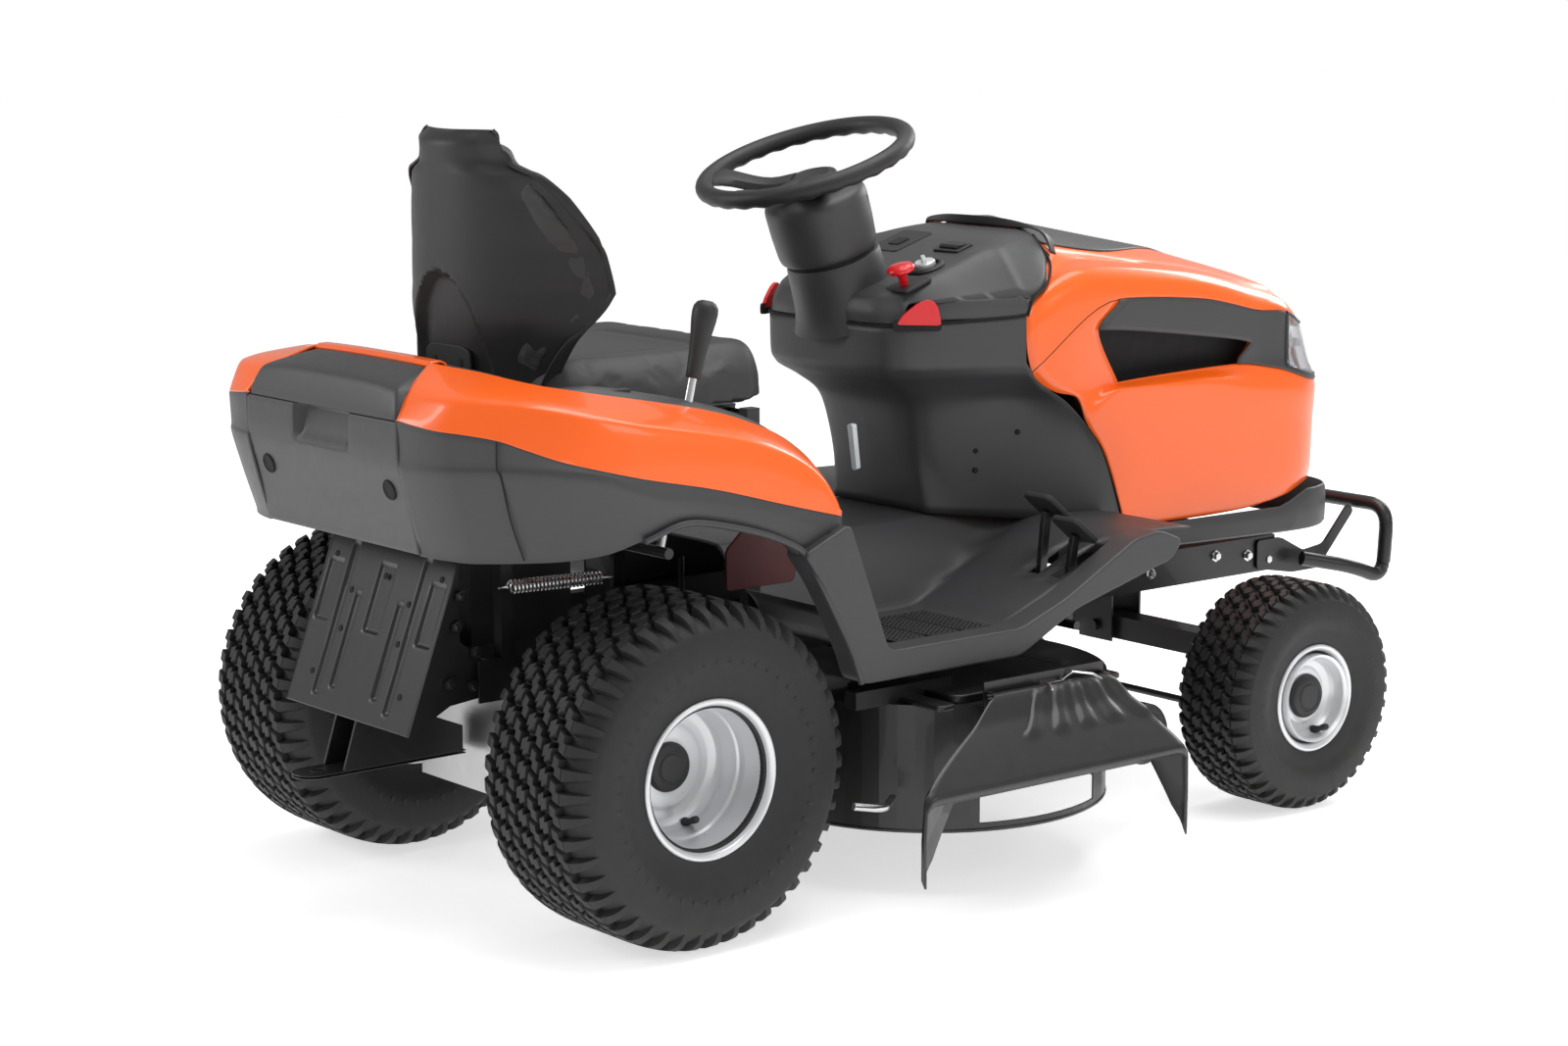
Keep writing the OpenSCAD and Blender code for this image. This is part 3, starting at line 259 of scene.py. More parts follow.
# --------------------------------------------------------------------------- shape tools
def unit(v: np.ndarray) -> np.ndarray:
    """Vectors of length one along the last axis."""
    return v / np.maximum(np.linalg.norm(v, axis=-1, keepdims=True), 1e-12)


def grid_faces(nu: int, nv: int, wrap_u: bool = False, wrap_v: bool = False) -> np.ndarray:
    """Quads of a grid whose points are numbered row by row.

    Args:
        nu: Rows.
        nv: Points in a row.
        wrap_u: Joins the last row to the first.
        wrap_v: Joins the last point of each row to the first.

    Returns:
        An array of quads.
    """
    i, j = np.meshgrid(np.arange(nu if wrap_u else nu - 1), np.arange(nv if wrap_v else nv - 1),
                       indexing="ij")
    a, b = i * nv + j, i * nv + (j + 1) % nv
    c, d = ((i + 1) % nu) * nv + (j + 1) % nv, ((i + 1) % nu) * nv + j
    return np.stack([a, b, c, d], -1).reshape(-1, 4)


def slopes(x: np.ndarray, y: np.ndarray) -> np.ndarray:
    """Slopes that keep a cubic monotone: the harmonic mean of the two neighbouring chords, and nought
    where they disagree in sign.

    Args:
        x: Places of the points.
        y: Values, with the points along the first axis.

    Returns:
        One slope for each value.
    """
    h = np.diff(x).reshape((-1,) + (1,) * (y.ndim - 1))
    chord = np.diff(y, axis=0) / h
    both = chord[:-1] * chord[1:]
    mean = np.where(both > 0, 2 * both / np.where(both > 0, chord[:-1] + chord[1:], 1.0), 0.0)
    return np.concatenate([chord[:1], mean, chord[-1:]])


def curve(y: np.ndarray, steps: int) -> np.ndarray:
    """A monotone cubic through rows of values that stand one apart.

    Args:
        y: Values, with the points along the first axis.
        steps: Pieces between two points.

    Returns:
        The values on the finer rows.
    """
    n = len(y)
    x = np.arange(n, dtype=float)
    s = slopes(x, y)
    q = np.linspace(0, n - 1, (n - 1) * steps + 1)
    i = np.minimum(q.astype(int), n - 2)
    t = (q - i).reshape((-1,) + (1,) * (y.ndim - 1))
    return ((1 + 2 * t) * (1 - t) ** 2 * y[i] + t * (1 - t) ** 2 * s[i]
            + t * t * (3 - 2 * t) * y[i + 1] + t * t * (t - 1) * s[i + 1])


def net(points: np.ndarray, rows: int, cols: int) -> np.ndarray:
    """A smooth surface through a net of points: a monotone cubic along the columns, then the rows.

    Args:
        points: Net of shape rows, columns, values.
        rows: Pieces between two rows.
        cols: Pieces between two columns.

    Returns:
        The finer net.
    """
    fine = curve(np.asarray(points, float), rows)
    return np.swapaxes(curve(np.swapaxes(fine, 0, 1), cols), 0, 1)


def rounded(outline: Sequence, radius: float, steps: int = 5) -> np.ndarray:
    """A closed outline with each corner turned into a parabola between two points on its sides.

    Args:
        outline: Corners in order.
        radius: Distance of those points from the corner, or half the side where that is less.
        steps: Pieces in each corner.

    Returns:
        The rounded outline.
    """
    p = np.asarray(outline, float)
    before, after = np.roll(p, 1, 0) - p, np.roll(p, -1, 0) - p
    la, lb = np.linalg.norm(before, axis=1), np.linalg.norm(after, axis=1)
    a = p + before * (np.minimum(radius / la, 0.46))[:, None]
    b = p + after * (np.minimum(radius / lb, 0.46))[:, None]
    t = np.linspace(0, 1, steps + 1)[None, :, None]
    arc = (1 - t) ** 2 * a[:, None] + 2 * t * (1 - t) * p[:, None] + t * t * b[:, None]
    return arc.reshape(-1, p.shape[1])


def smooth_path(points: Sequence, bend: float, steps: int = 8) -> np.ndarray:
    """An open path with its inner corners rounded as ``rounded`` does.

    Args:
        points: Corners in order.
        bend: Length of each corner's legs.
        steps: Pieces in each corner.

    Returns:
        The points of the path.
    """
    p = np.asarray(points, float)
    mid = rounded(p, bend, steps).reshape(len(p), steps + 1, -1)[1:-1].reshape(-1, p.shape[1])
    return np.concatenate([p[:1], mid, p[-1:]])


def step_in(x: np.ndarray, a: float, b: float) -> np.ndarray:
    """Rises smoothly from 0 at a to 1 at b."""
    t = np.clip((x - a) / (b - a), 0, 1)
    return t * t * (3 - 2 * t)


def border(grid: np.ndarray) -> np.ndarray:
    """The outer points of a grid, once round."""
    return np.concatenate([grid[0], grid[1:, -1], grid[-1, -2::-1], grid[-2:0:-1, 0]])


class Shape:
    """Points and faces of one piece, gathered from several surfaces, in machine millimetres."""

    def __init__(self) -> None:
        """Starts with nothing."""
        self.points: list[np.ndarray] = []
        self.faces: list[Sequence[int]] = []
        self.count = 0

    def add(self, points: np.ndarray, faces: Iterable) -> "Shape":
        """Adds points and the faces over them.

        Args:
            points: Array of points.
            faces: Quads or polygons, counted from this array's first point.

        Returns:
            This shape.
        """
        flat = np.asarray(points, float).reshape(-1, 3)
        shift = self.count
        if isinstance(faces, np.ndarray):
            self.faces.extend((faces + shift).tolist())
        else:
            self.faces.extend([[i + shift for i in f] for f in faces])
        self.points.append(flat)
        self.count += len(flat)
        return self

    def both_sides(self) -> "Shape":
        """Adds the mirror image across the middle plane, with its faces turned round."""
        pts = np.concatenate(self.points)
        faces = [f[::-1] for f in self.faces]
        return self.add(pts * (1, -1, 1), faces)

    def flipped(self, on: bool) -> "Shape":
        """Turns to the left side of the machine when asked, with the faces turned round."""
        if on:
            self.points = [p * (1, -1, 1) for p in self.points]
            self.faces = [f[::-1] for f in self.faces]
        return self

    def sheet(self, p: np.ndarray, keep: np.ndarray | None = None, inside: Sequence | None = None) -> "Shape":
        """Adds an open surface over a grid of points.

        Args:
            p: Points, rows by columns by three.
            keep: Which quads are kept.
            inside: A point behind the surface, from which its faces look away.

        Returns:
            This shape.
        """
        nu, nv = p.shape[:2]
        quads = grid_faces(nu, nv)
        if keep is not None:
            quads = quads[keep.reshape(-1)]
        flat = p.reshape(-1, 3)
        if inside is not None:
            a, b, c = flat[quads[:, 0]], flat[quads[:, 1]], flat[quads[:, 2]]
            normal = np.cross(b - a, c - a)
            if np.sum(normal * (a - np.asarray(inside, float))) < 0:
                quads = quads[:, ::-1]
        return self.add(flat, quads)

    def loft(self, rings: np.ndarray) -> "Shape":
        """Adds a closed skin over rings of points, each end closed to its middle.

        Args:
            rings: Rings by points by three.

        Returns:
            This shape.
        """
        ends = [np.repeat(r.mean(0)[None], rings.shape[1], 0)[None] for r in (rings[0], rings[-1])]
        full = np.concatenate([ends[0], rings, ends[1]])
        return self.add(full, grid_faces(full.shape[0], full.shape[1], wrap_v=True))

    def tube(self, path: Sequence, radius: float | Sequence, sides: int = 14, loop: bool = False,
             up: Sequence = (0.03, 0.02, 1.0)) -> "Shape":
        """Adds a round tube: at each point of the path a circle across the path's direction.

        Args:
            path: Points of the middle line.
            radius: One radius, or one for each point.
            sides: Points round the tube.
            loop: Joins the ends.
            up: Direction that the path never follows.

        Returns:
            This shape.
        """
        p = np.asarray(path, float)
        way = np.roll(p, -1, 0) - np.roll(p, 1, 0) if loop else np.gradient(p, axis=0)
        way = unit(way)
        side = unit(np.cross(way, np.asarray(up, float)))
        over = np.cross(side, way)
        turn = np.linspace(0, 2 * np.pi, sides, endpoint=False)
        r = np.broadcast_to(np.asarray(radius, float), len(p))[:, None, None]
        rings = p[:, None] + r * (np.cos(turn)[None, :, None] * side[:, None]
                                  + np.sin(turn)[None, :, None] * over[:, None])
        if loop:
            return self.add(rings, grid_faces(len(p), sides, wrap_u=True, wrap_v=True))
        return self.loft(rings)

    def turned(self, profile: Sequence, origin: Sequence, axis: Sequence, sides: int = 48,
               loop: bool = False) -> "Shape":
        """Adds a surface of revolution.

        Args:
            profile: Radius and height along the axis, in order.
            origin: Point on the axis at height nought.
            axis: Direction of the axis.
            sides: Points round the axis.
            loop: The profile is closed on itself.

        Returns:
            This shape.
        """
        pr = np.asarray(profile, float)
        w = unit(np.asarray(axis, float))
        u = unit(np.cross(w, (0.0, 0.31, 0.95) if abs(w[0]) > 0.6 else (1.0, 0.0, 0.0)))
        v = np.cross(w, u)
        turn = np.linspace(0, 2 * np.pi, sides, endpoint=False)
        spoke = np.cos(turn)[:, None] * u + np.sin(turn)[:, None] * v
        pts = np.asarray(origin, float) + pr[:, None, :1] * spoke[None] + pr[:, None, 1:] * w
        return self.add(pts, grid_faces(len(pr), sides, wrap_u=loop, wrap_v=True))

    def slab(self, outline: Sequence, origin: Sequence, u: Sequence, v: Sequence, thick: float) -> "Shape":
        """Adds a flat plate: an outline in the plane of u and v, given thickness along their cross product.

        Args:
            outline: Corners in the plane.
            origin: Where the plane's own origin lies.
            u: First direction.
            v: Second direction.
            thick: Thickness, which may be negative.

        Returns:
            This shape.
        """
        q = np.asarray(outline, float)
        u3, v3 = unit(np.asarray(u, float)), unit(np.asarray(v, float))
        base = np.asarray(origin, float) + q[:, :1] * u3 + q[:, 1:2] * v3
        n = len(q)
        faces = grid_faces(2, n, wrap_v=True).tolist() + [list(range(n))[::-1], list(range(n, 2 * n))]
        return self.add(np.concatenate([base, base + np.cross(u3, v3) * thick]), faces)

    def box(self, a: Sequence, b: Sequence) -> "Shape":
        """Adds a box from its lowest to its highest corner."""
        (x0, y0, z0), (x1, y1, z1) = a, b
        return self.slab([(x0, y0), (x1, y0), (x1, y1), (x0, y1)], (0, 0, z0), (1, 0, 0), (0, 1, 0), z1 - z0)


@dataclass
class Shop:
    """Puts shapes into the scene in the row frame, and reports them."""

    shift: np.ndarray = field(default_factory=lambda: Shop.measure())
    tally: int = 0

    @staticmethod
    def measure() -> np.ndarray:
        """Where the point under the middle of the rear axle lies in the row frame, in metres."""
        left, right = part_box("tyre_rear_left"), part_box("tyre_rear_right")
        mid = (left[0] + left[1] + right[0] + right[1]) / 4
        return np.array([mid.x, mid.y, 0.0])

    @staticmethod
    def packed(node: str) -> tuple[Vector, tuple[float, ...], float]:
        """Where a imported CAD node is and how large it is.

        Args:
            node: Name of the node.

        Returns:
            Its middle and its half sizes in machine millimetres, and the height of its top.
        """
        low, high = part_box(node)
        middle = ((low + high) / 2 - Vector(Shop.measure().tolist())) * 1000
        return middle, tuple((b - a) * 500 for a, b in zip(low, high)), high.z * 1000

    def place(self, p: np.ndarray) -> np.ndarray:
        """Machine millimetres as metres of the row frame."""
        return np.asarray(p, float) / 1000 + self.shift

    def make(self, name: str, shape: Shape, finish: Finish, body: str, replaces: Sequence[str] = (),
             thick: float = 0.0, bevel: float = 0.0, bevel_steps: int = 3, subdivide: int = 0,
             sharp: float = 38.0, turn_out: bool = True) -> bpy.types.Object:
        """Makes an object from a shape: doubles merged, faces turned outwards, then wall and edges.

        Args:
            name: Name of the piece.
            shape: The shape in machine millimetres.
            finish: Its finish.
            body: CAD body that it rides on.
            replaces: CAD nodes that it stands for.
            thick: Wall given to an open surface, inwards, in millimetres.
            bevel: Width of the rounding of sharp edges, in millimetres.
            bevel_steps: Pieces in that rounding.
            subdivide: Levels of subdivision.
            sharp: Edges sharper than this many degrees stay sharp.
            turn_out: Whether the faces are turned outwards by their closed volume.

        Returns:
            The new object.
        """
        mesh = bpy.data.meshes.new(name)
        pts = self.place(np.concatenate(shape.points))
        mesh.from_pydata(pts.tolist(), [], shape.faces)
        work = bmesh.new()
        work.from_mesh(mesh)
        bmesh.ops.remove_doubles(work, verts=work.verts, dist=2e-5)
        bmesh.ops.dissolve_degenerate(work, edges=work.edges, dist=1e-6)
        if turn_out:
            bmesh.ops.recalc_face_normals(work, faces=work.faces)
        work.to_mesh(mesh)
        work.free()
        mesh.shade_smooth()
        obj = bpy.data.objects.new(name, mesh)
        bpy.context.scene.collection.objects.link(obj)
        if thick:
            wall = obj.modifiers.new("wall", "SOLIDIFY")
            wall.thickness = thick / 1000
            wall.offset = -1.0
            wall.use_even_offset = False
        if bevel:
            edge = obj.modifiers.new("edges", "BEVEL")
            edge.width = bevel / 1000
            edge.segments = bevel_steps
            edge.limit_method = "ANGLE"
            edge.angle_limit = math.radians(32)
            edge.harden_normals = False
        if subdivide:
            sub = obj.modifiers.new("smooth", "SUBSURF")
            sub.levels = sub.render_levels = subdivide
        if bevel:
            weigh = obj.modifiers.new("shade", "WEIGHTED_NORMAL")
            weigh.keep_sharp = True
        else:
            mesh.set_sharp_from_angle(angle=math.radians(sharp))
        finish.dress(obj)
        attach(obj, body)
        if replaces:
            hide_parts(*replaces)
        self.tally += 1
        LOG.info("%s: %d faces on %s", name, len(mesh.polygons), body)
        return obj


# --------------------------------------------------------------------------- wheels
@dataclass
class Tread:
    """Grass tread: rows of stepped blocks in a lattice, and long lugs over the shoulders."""

    radius: float
    half: float
    height: float
    pitches: int
    rows: int
    row_gap: float
    block: tuple[float, float]

    def drop(self, s: np.ndarray) -> np.ndarray:
        """How far the carcass falls below the crown: nought in the middle, then a steep quarter round."""
        t = np.clip((np.abs(s) - 0.5 * self.half) / (0.5 * self.half), 0, 1)
        return 0.03 * self.half * t + 0.2 * self.half * t ** 3.2

    def wrap(self, a: np.ndarray, s: np.ndarray, lift: np.ndarray) -> np.ndarray:
        """Lays flat blocks round the tyre.

        Args:
            a: Length round the crown.
            s: Distance from the middle plane.
            lift: Height over the carcass.

        Returns:
            Points with the wheel's axis along y and its middle at nought.
        """
        turn = a / self.radius
        r = self.radius - self.height - self.drop(s) + lift
        return np.stack([r * np.sin(turn), s, r * np.cos(turn)], -1)

    def blocks(self, shape: Shape) -> None:
        """Adds the blocks: one stepped outline repeated on a lattice, its top drawn in a little."""
        w, d = self.block
        step = np.array([(-1, -1), (0.28, -1), (0.28, -0.3), (1, -0.3),
                         (1, 1), (-0.28, 1), (-0.28, 0.3), (-1, 0.3)])
        pitch = 2 * np.pi * self.radius / self.pitches
        row, turn = np.meshgrid(np.arange(self.rows), np.arange(self.pitches), indexing="ij")
        row, turn = row.reshape(-1), turn.reshape(-1)
        s0 = (row - (self.rows - 1) / 2) * self.row_gap
        a0 = (turn + 0.5 * (row % 2)) * pitch
        lean = 0.45 * np.where(row % 2 == 0, 1.0, -1.0)
        levels = []
        for grow, lift in ((1.16, -1.5), (1.0, self.height * 0.82), (0.88, self.height)):
            b = step[None, :, 1] * d / 2 * grow
            a = step[None, :, 0] * w / 2 * grow + b * lean[:, None]
            levels.append(self.wrap(a0[:, None] + a, s0[:, None] + b, np.full(a.shape, lift)))
        pts = np.stack(levels, 1)
        n, k = len(row), len(step)
        quad = grid_faces(3, k, wrap_v=True)
        sides = (np.arange(n)[:, None, None] * 3 * k + quad[None]).reshape(-1, 4)
        tops = (np.arange(n)[:, None] * 3 * k + 2 * k + np.arange(k)[None]).tolist()
        shape.add(pts, sides.tolist() + tops)

    def lugs(self, shape: Shape) -> None:
        """Adds the shoulder lugs: tapered bars that run out over the shoulder and end in a point."""
        pitch = 2 * np.pi * self.radius / self.pitches
        reach = np.linspace(0, 1, 7)
        for side in (-1, 1):
            a0 = (np.arange(self.pitches) + (0.25 if side > 0 else 0.75)) * pitch
            s = self.half * (0.7 + 0.3 * np.sin(reach * np.pi / 2))
            fall = self.half * 0.30 * np.maximum(0, reach - 0.45) ** 1.4 / 0.55 ** 1.4
            wide = pitch * (0.30 - 0.2 * reach)
            rings = []
            for across, up in ((-1.2, -3.0), (-0.8, 1.0), (0.8, 1.0), (1.2, -3.0)):
                lift = np.where(up > 0, self.height * (1 - 0.55 * reach), up) - fall
                a = a0[:, None] + across * wide[None] + 6.0 * reach[None]
                rings.append(self.wrap(a, np.broadcast_to(side * s, a.shape), np.broadcast_to(lift, a.shape)))
            pts = np.stack(rings, 2)
            n = self.pitches
            quad = grid_faces(7, 4)
            ends = [[0, 1, 2, 3], [24, 25, 26, 27]]
            faces = (np.arange(n)[:, None, None] * 28 + quad[None]).reshape(-1, 4).tolist()
            faces += [[i * 28 + q for q in e] for i in range(n) for e in ends]
            shape.add(pts, faces)


@dataclass
class Wheel:
    """A garden tyre on a pressed rim with a push-in hub cap."""

    end: str
    side: str
    centre: tuple[float, float, float]
    radius: float
    half: float
    flange: float
    bead: float
    cap_at: float
    tread: Tread

    def out(self) -> float:
        """Which way is outwards along y."""
        return 1.0 if self.side == "left" else -1.0

    def build(self, shop: Shop) -> None:
        """Makes the tyre, the rim, the cap and the valve.

        Args:
            shop: Where the pieces are made.
        """
        body = f"wheel_{self.end}_{self.side}"
        tag = f"{self.end}_{self.side}"
        tyre = Shape()
        self.tread.blocks(tyre)
        self.tread.lugs(tyre)
        tyre.points = [p + np.array(self.centre) for p in tyre.points]
        tyre.turned(self.carcass(), self.centre, (0, self.out(), 0), 144, loop=True)
        shop.make(f"grass_tyre_{tag}", tyre, TYRE, body, [f"tyre_{tag}"], sharp=34)
        rim = Shape().turned(self.dish(), self.centre, (0, self.out(), 0), 96, loop=True)
        shop.make(f"pressed_rim_{tag}", rim, RIM, body, [f"rim_{tag}"], sharp=50)
        self.cap(shop, body, tag)
        self.valve(shop, body, tag)

    def carcass(self) -> np.ndarray:
        """Closed section of the tyre: crown from the tread's fall, sidewall bulge, rings and bead."""
        t = self.tread
        s = np.linspace(-1, 1, 41) * t.half * 0.97
        crown = np.stack([t.radius - t.height - t.drop(s), s], -1)
        top = crown[-1, 0]
        wall = np.linspace(0, 1, 13)[1:]
        low = self.flange + 3
        r = top + (low - top) * wall
        y = t.half * (0.97 + 0.03 * np.sin(np.pi * np.minimum(wall * 1.6, 1))) - (
            t.half - self.bead - 3) * step_in(wall, 0.45, 1.0)
        y = y + 1.2 * (np.abs(wall - 0.84) < 0.06)
        side = np.stack([r, y], -1)
        inner = np.array([(self.flange - 16, self.bead - 8), (self.flange - 16, -self.bead + 8)])
        return np.concatenate([crown, side, [(self.flange + 0.5, self.bead - 1)], inner,
                               [(self.flange + 0.5, -self.bead + 1)], (side * (1, -1))[::-1]])

    def dish(self) -> np.ndarray:
        """Closed section of the rim: rolled flange, stepped barrel, coned disc and hub."""
        f, b, d = self.flange, self.bead, self.cap_at
        outer = [(f - 15, b - 16), (f - 2, b - 5), (f - 0.5, b - 1), (f - 0.5, b + 1), (f - 3, b + 3.2),
                 (f - 7, b + 2.6), (f - 10.5, b - 1), (f - 13, b - 9), (f - 15.5, b - 12), (f - 16.5, b - 22),
                 (f - 17, max(d + 34, b * 0.45)), (f - 23, max(d + 30, b * 0.4)), (f - 24.5, d + 12),
                 (f - 30, d + 3), (f - 42, d - 1), (0.56 * f, d - 1), (0.5 * f, d + 3), (0.36 * f, d + 3),
                 (0.30 * f, d + 4), (16, d + 4)]
        back = [(16, d - 6), (0.5 * f, d - 5), (f - 42, d - 6), (f - 30, d - 4), (f - 26, -b * 0.4),
                (f - 19, -b + 18), (f - 12, -b + 4), (f - 8, -b - 2), (f - 3, -b - 3), (f - 0.5, -b - 1),
                (f - 1, -b + 4), (f - 15, -b + 14), (f - 21, -b * 0.4 + 4), (f - 21, b * 0.35),
                (f - 15, b * 0.6)]
        return smooth_path(outer + back + outer[:1], 2.2, 3)[:-1]

    def cap(self, shop: Shop, body: str, tag: str) -> None:
        """The hub cap: a shallow crowned disc with a raised ring.

        Args:
            shop: Where the piece is made.
            body: CAD body that it rides on.
            tag: End and side of the machine.
        """
        y = self.out()
        origin = np.array(self.centre) + (0, y * (self.cap_at + 4.3), 0)
        r = 37.0
        profile = [(0, 11.5), (12, 11.4), (20, 11), (21.5, 9.4), (24, 9.4), (25.5, 10.6), (30, 9.8),
                   (33.5, 8.4), (r - 1, 5), (r, 2), (r, 0), (0, 0)]
        cap = Shape().turned(profile, origin, (0, y, 0), 72)
        shop.make(f"hub_cap_dressed_{tag}", cap, SOFT_BLACK, body, [f"hub_cap_{tag}"], sharp=30)

    def valve(self, shop: Shop, body: str, tag: str) -> None:
        """The valve: a rubber stem and its cap, standing out of the dish.

        Args:
            shop: Where the piece is made.
            body: CAD body that it rides on.
            tag: End and side of the machine.
        """
        y, a = self.out(), -1.25
        r = self.flange - 27
        foot = np.array(self.centre) + (r * math.cos(a), y * (self.cap_at + 8), r * math.sin(a))
        way = np.array([-0.35 * math.cos(a), y * 0.9, -0.35 * math.sin(a)])
        path = foot + np.array([0, 8, 20, 23, 24, 34, 36])[:, None] * way
        stem = Shape().tube(path, [8, 5.4, 4.2, 4.2, 5.6, 5.4, 4.2], 14)
        shop.make(f"valve_{tag}", stem, SOFT_BLACK, body)


def wheels() -> list[Wheel]:
    """The four wheels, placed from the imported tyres.

    Returns:
        The wheels.
    """
    made = []
    for end, flange, bead, cap, height, pitches, rows, gap, block in (
            ("rear", 118.0, 107.0, 0.3, 13.0, 46, 7, 26.0, (27.0, 21.0)),
            ("front", 90.5, 68.0, 42.0, 10.0, 42, 5, 22.0, (21.0, 17.0))):
        for side in ("left", "right"):
            mid, (_, half, radius), _ = Shop.packed(f"tyre_{end}_{side}")
            tread = Tread(radius, half, height, pitches, rows, gap, block)
            made.append(Wheel(end, side, (mid.x, mid.y, mid.z), radius, half, flange, bead, cap, tread))
    return made


# --------------------------------------------------------------------------- hood
def hood_plan(s: np.ndarray, inset: np.ndarray) -> tuple[np.ndarray, np.ndarray]:
    """Plan of the hood's side: straight to the corner, then round the nose.

    Args:
        s: Length along the plan from the rear of the side.
        inset: Distance inwards from the widest line.

    Returns:
        x and half width at each length.
    """
    at = np.array([-80, 618, 658, 701, 745, 796, 858, 938.5])
    px = np.array([762, 1460, 1500, 1540, 1572, 1595, 1612, 1620.0])
    py = np.array([235, 235, 231, 215, 185, 140, 80, 0.0])
    fine = np.linspace(at[0], at[-1], 600)
    ix, iy = np.interp(fine, at, px), np.interp(fine, at, py)
    reach = 20
    kernel = np.hanning(2 * reach + 1) / np.hanning(2 * reach + 1).sum()
    ahead = np.full(reach, ix[0]) - np.arange(reach, 0, -1) * (ix[1] - ix[0])
    ix = np.convolve(np.concatenate([ahead, ix, np.full(reach, ix[-1])]), kernel, "valid")
    mirrored = np.concatenate([np.full(reach, iy[0]), iy, -iy[-2:-2 - reach:-1]])
    iy = np.convolve(mirrored, kernel, "valid")
    gx, gy = np.gradient(ix), np.gradient(iy)
    size = np.maximum(np.hypot(gx, gy), 1e-9)
    nx, ny = np.interp(s, fine, gy / size), np.interp(s, fine, -gx / size)
    return np.interp(s, fine, ix) + nx * inset, np.interp(s, fine, iy) + ny * inset


@dataclass
class Hood:
    """Engine cover: sculpted sides with a vent, a wrap-round lamp, a crowned top and a scuttle cover."""

    fine: int = 8

    def side_net(self) -> np.ndarray:
        """The net of the side: rows from the bottom edge to the ridge, columns from rear to centre line.

        Returns:
            Rows by columns of length along the plan, inset and height.
        """
        rows = [
            [(222, 0, 472), (262, 0, 468), (398, 0, 466), (500, 0, 468), (605, 0, 480), (690, 2, 498),
             (800, 4, 500), (938.5, 6, 500)],
            [(221, -1, 482), (262, -1, 480), (398, -2, 482), (500, -2, 490), (605, -3, 505), (690, -2, 516),
             (800, 0, 518), (938.5, 2, 518)],
            [(174, 0, 600), (232, -3, 600), (398, -5, 602), (500, -6, 604), (605, -6, 606), (690, -5, 608),
             (800, -2, 610), (938.5, 0, 612)],
            [(134, -1, 650), (210, -6, 700), (398, -9, 696), (500, -9, 680), (605, -9, 662), (690, -8, 655),
             (800, -4, 652), (938.5, 0, 650)],
            [(113, 1, 694), (218, 15, 709), (398, 16, 716), (500, 13, 718), (585, -2, 706), (690, -6, 678),
             (800, -2, 672), (938.5, 2, 668)],
            [(60, 0, 708), (160, 3, 800), (398, 4, 774), (524, 5, 754), (590, 3, 728), (690, 4, 704),
             (800, 6, 700), (938.5, 8, 700)],
            [(10, 0, 744), (206, 1, 848), (398, 2, 836), (548, 4, 806), (598, 5, 803), (690, 22, 776),
             (800, 28, 765), (938.5, 30, 760)],
            [(-3, 0, 800), (160, 4, 878), (398, 8, 862), (548, 14, 830), (610, 18, 818), (690, 34, 796),
             (800, 44, 786), (938.5, 48, 782)],
            [(-3, 2, 836), (150, 24, 902), (398, 34, 880), (548, 46, 848), (620, 52, 832), (690, 60, 815),
             (800, 72, 806), (938.5, 78, 803)],
            [(119, 75, 922), (190, 75, 910), (398, 72, 886), (548, 66, 856), (630, 66, 838), (700, 76, 822),
             (805, 92, 815), (938.5, 100, 811)],
        ]
        return np.array(rows, float)

    def lay(self, grid: np.ndarray) -> np.ndarray:
        """Turns length, inset and height into right-hand points."""
        x, y = hood_plan(grid[..., 0], grid[..., 1])
        return np.stack([x, -y, grid[..., 2]], -1)

    def build(self, shop: Shop) -> None:
        """Makes the shell, the cover, the trims and the lamps.

        Args:
            shop: Where the pieces are made.
        """
        self.shell(shop)
        self.scuttle(shop)
        self.vents(shop)
        self.lamps(shop)

    def dense(self) -> np.ndarray:
        """The side net with its cells cut fine."""
        return net(self.side_net(), self.fine, self.fine)

    def cells(self, rows: Sequence[int], cols: Sequence[int], size: Sequence[int]) -> np.ndarray:
        """Marks the fine quads of a range of net cells.

        Args:
            rows: First and last net row.
            cols: First and last net column.
            size: Points of the fine net, in rows and columns.

        Returns:
            Mask of quads.
        """
        fine = self.fine
        mask = np.zeros((size[0] - 1, size[1] - 1), bool)
        mask[rows[0] * fine:rows[1] * fine, cols[0] * fine:cols[1] * fine] = True
        return mask

    def shell(self, shop: Shop) -> None:
        """The painted shell: the side net less its vent and lamp cells, and the crowned top.

        Args:
            shop: Where the piece is made.
        """
        fine, dense = self.fine, self.dense()
        p = self.lay(dense)
        hole = self.cells((4, 6), (1, 6), dense.shape)
        shell = Shape().sheet(p, ~hole, (1200, 0, 600))
        shell.sheet(self.top(dense[-1]), None, (1200, 0, 600))
        shell.both_sides()
        shop.make("hood_shell_dressed", shell, PAINT, "hood", ["hood_shell"], thick=4.0, sharp=24,
                  turn_out=False)
        ridge = dense[-1][:int(3.4 * fine)]
        begin = 0.16 + 0.8 * step_in(self.lay(ridge)[:, 0], 1080, 1440)
        panel = Shape().sheet(self.top(ridge, begin, 2.2), None, (1200, 0, 600)).both_sides()
        shop.make("hood_top_panel", panel, MOULDING, "hood", thick=2.0, turn_out=False)
        edge = p[6 * fine, : 3 * fine + 1]
        crease = Shape().tube(edge + np.array([0, 0.6, 0]), 1.1, 8).both_sides()
        shop.make("hood_trim_joint", crease, SOCKET_BLACK, "hood")
        back = self.lay(dense[:, :1])[:, 0]
        hem = np.stack([back + np.array(q) for q in ((6, 6, 0), (6, 18, 0))], 1)
        hem = Shape().sheet(hem, None).both_sides()
        shop.make("hood_rear_hem", hem, SOCKET_BLACK, "hood", thick=1.2, turn_out=False)

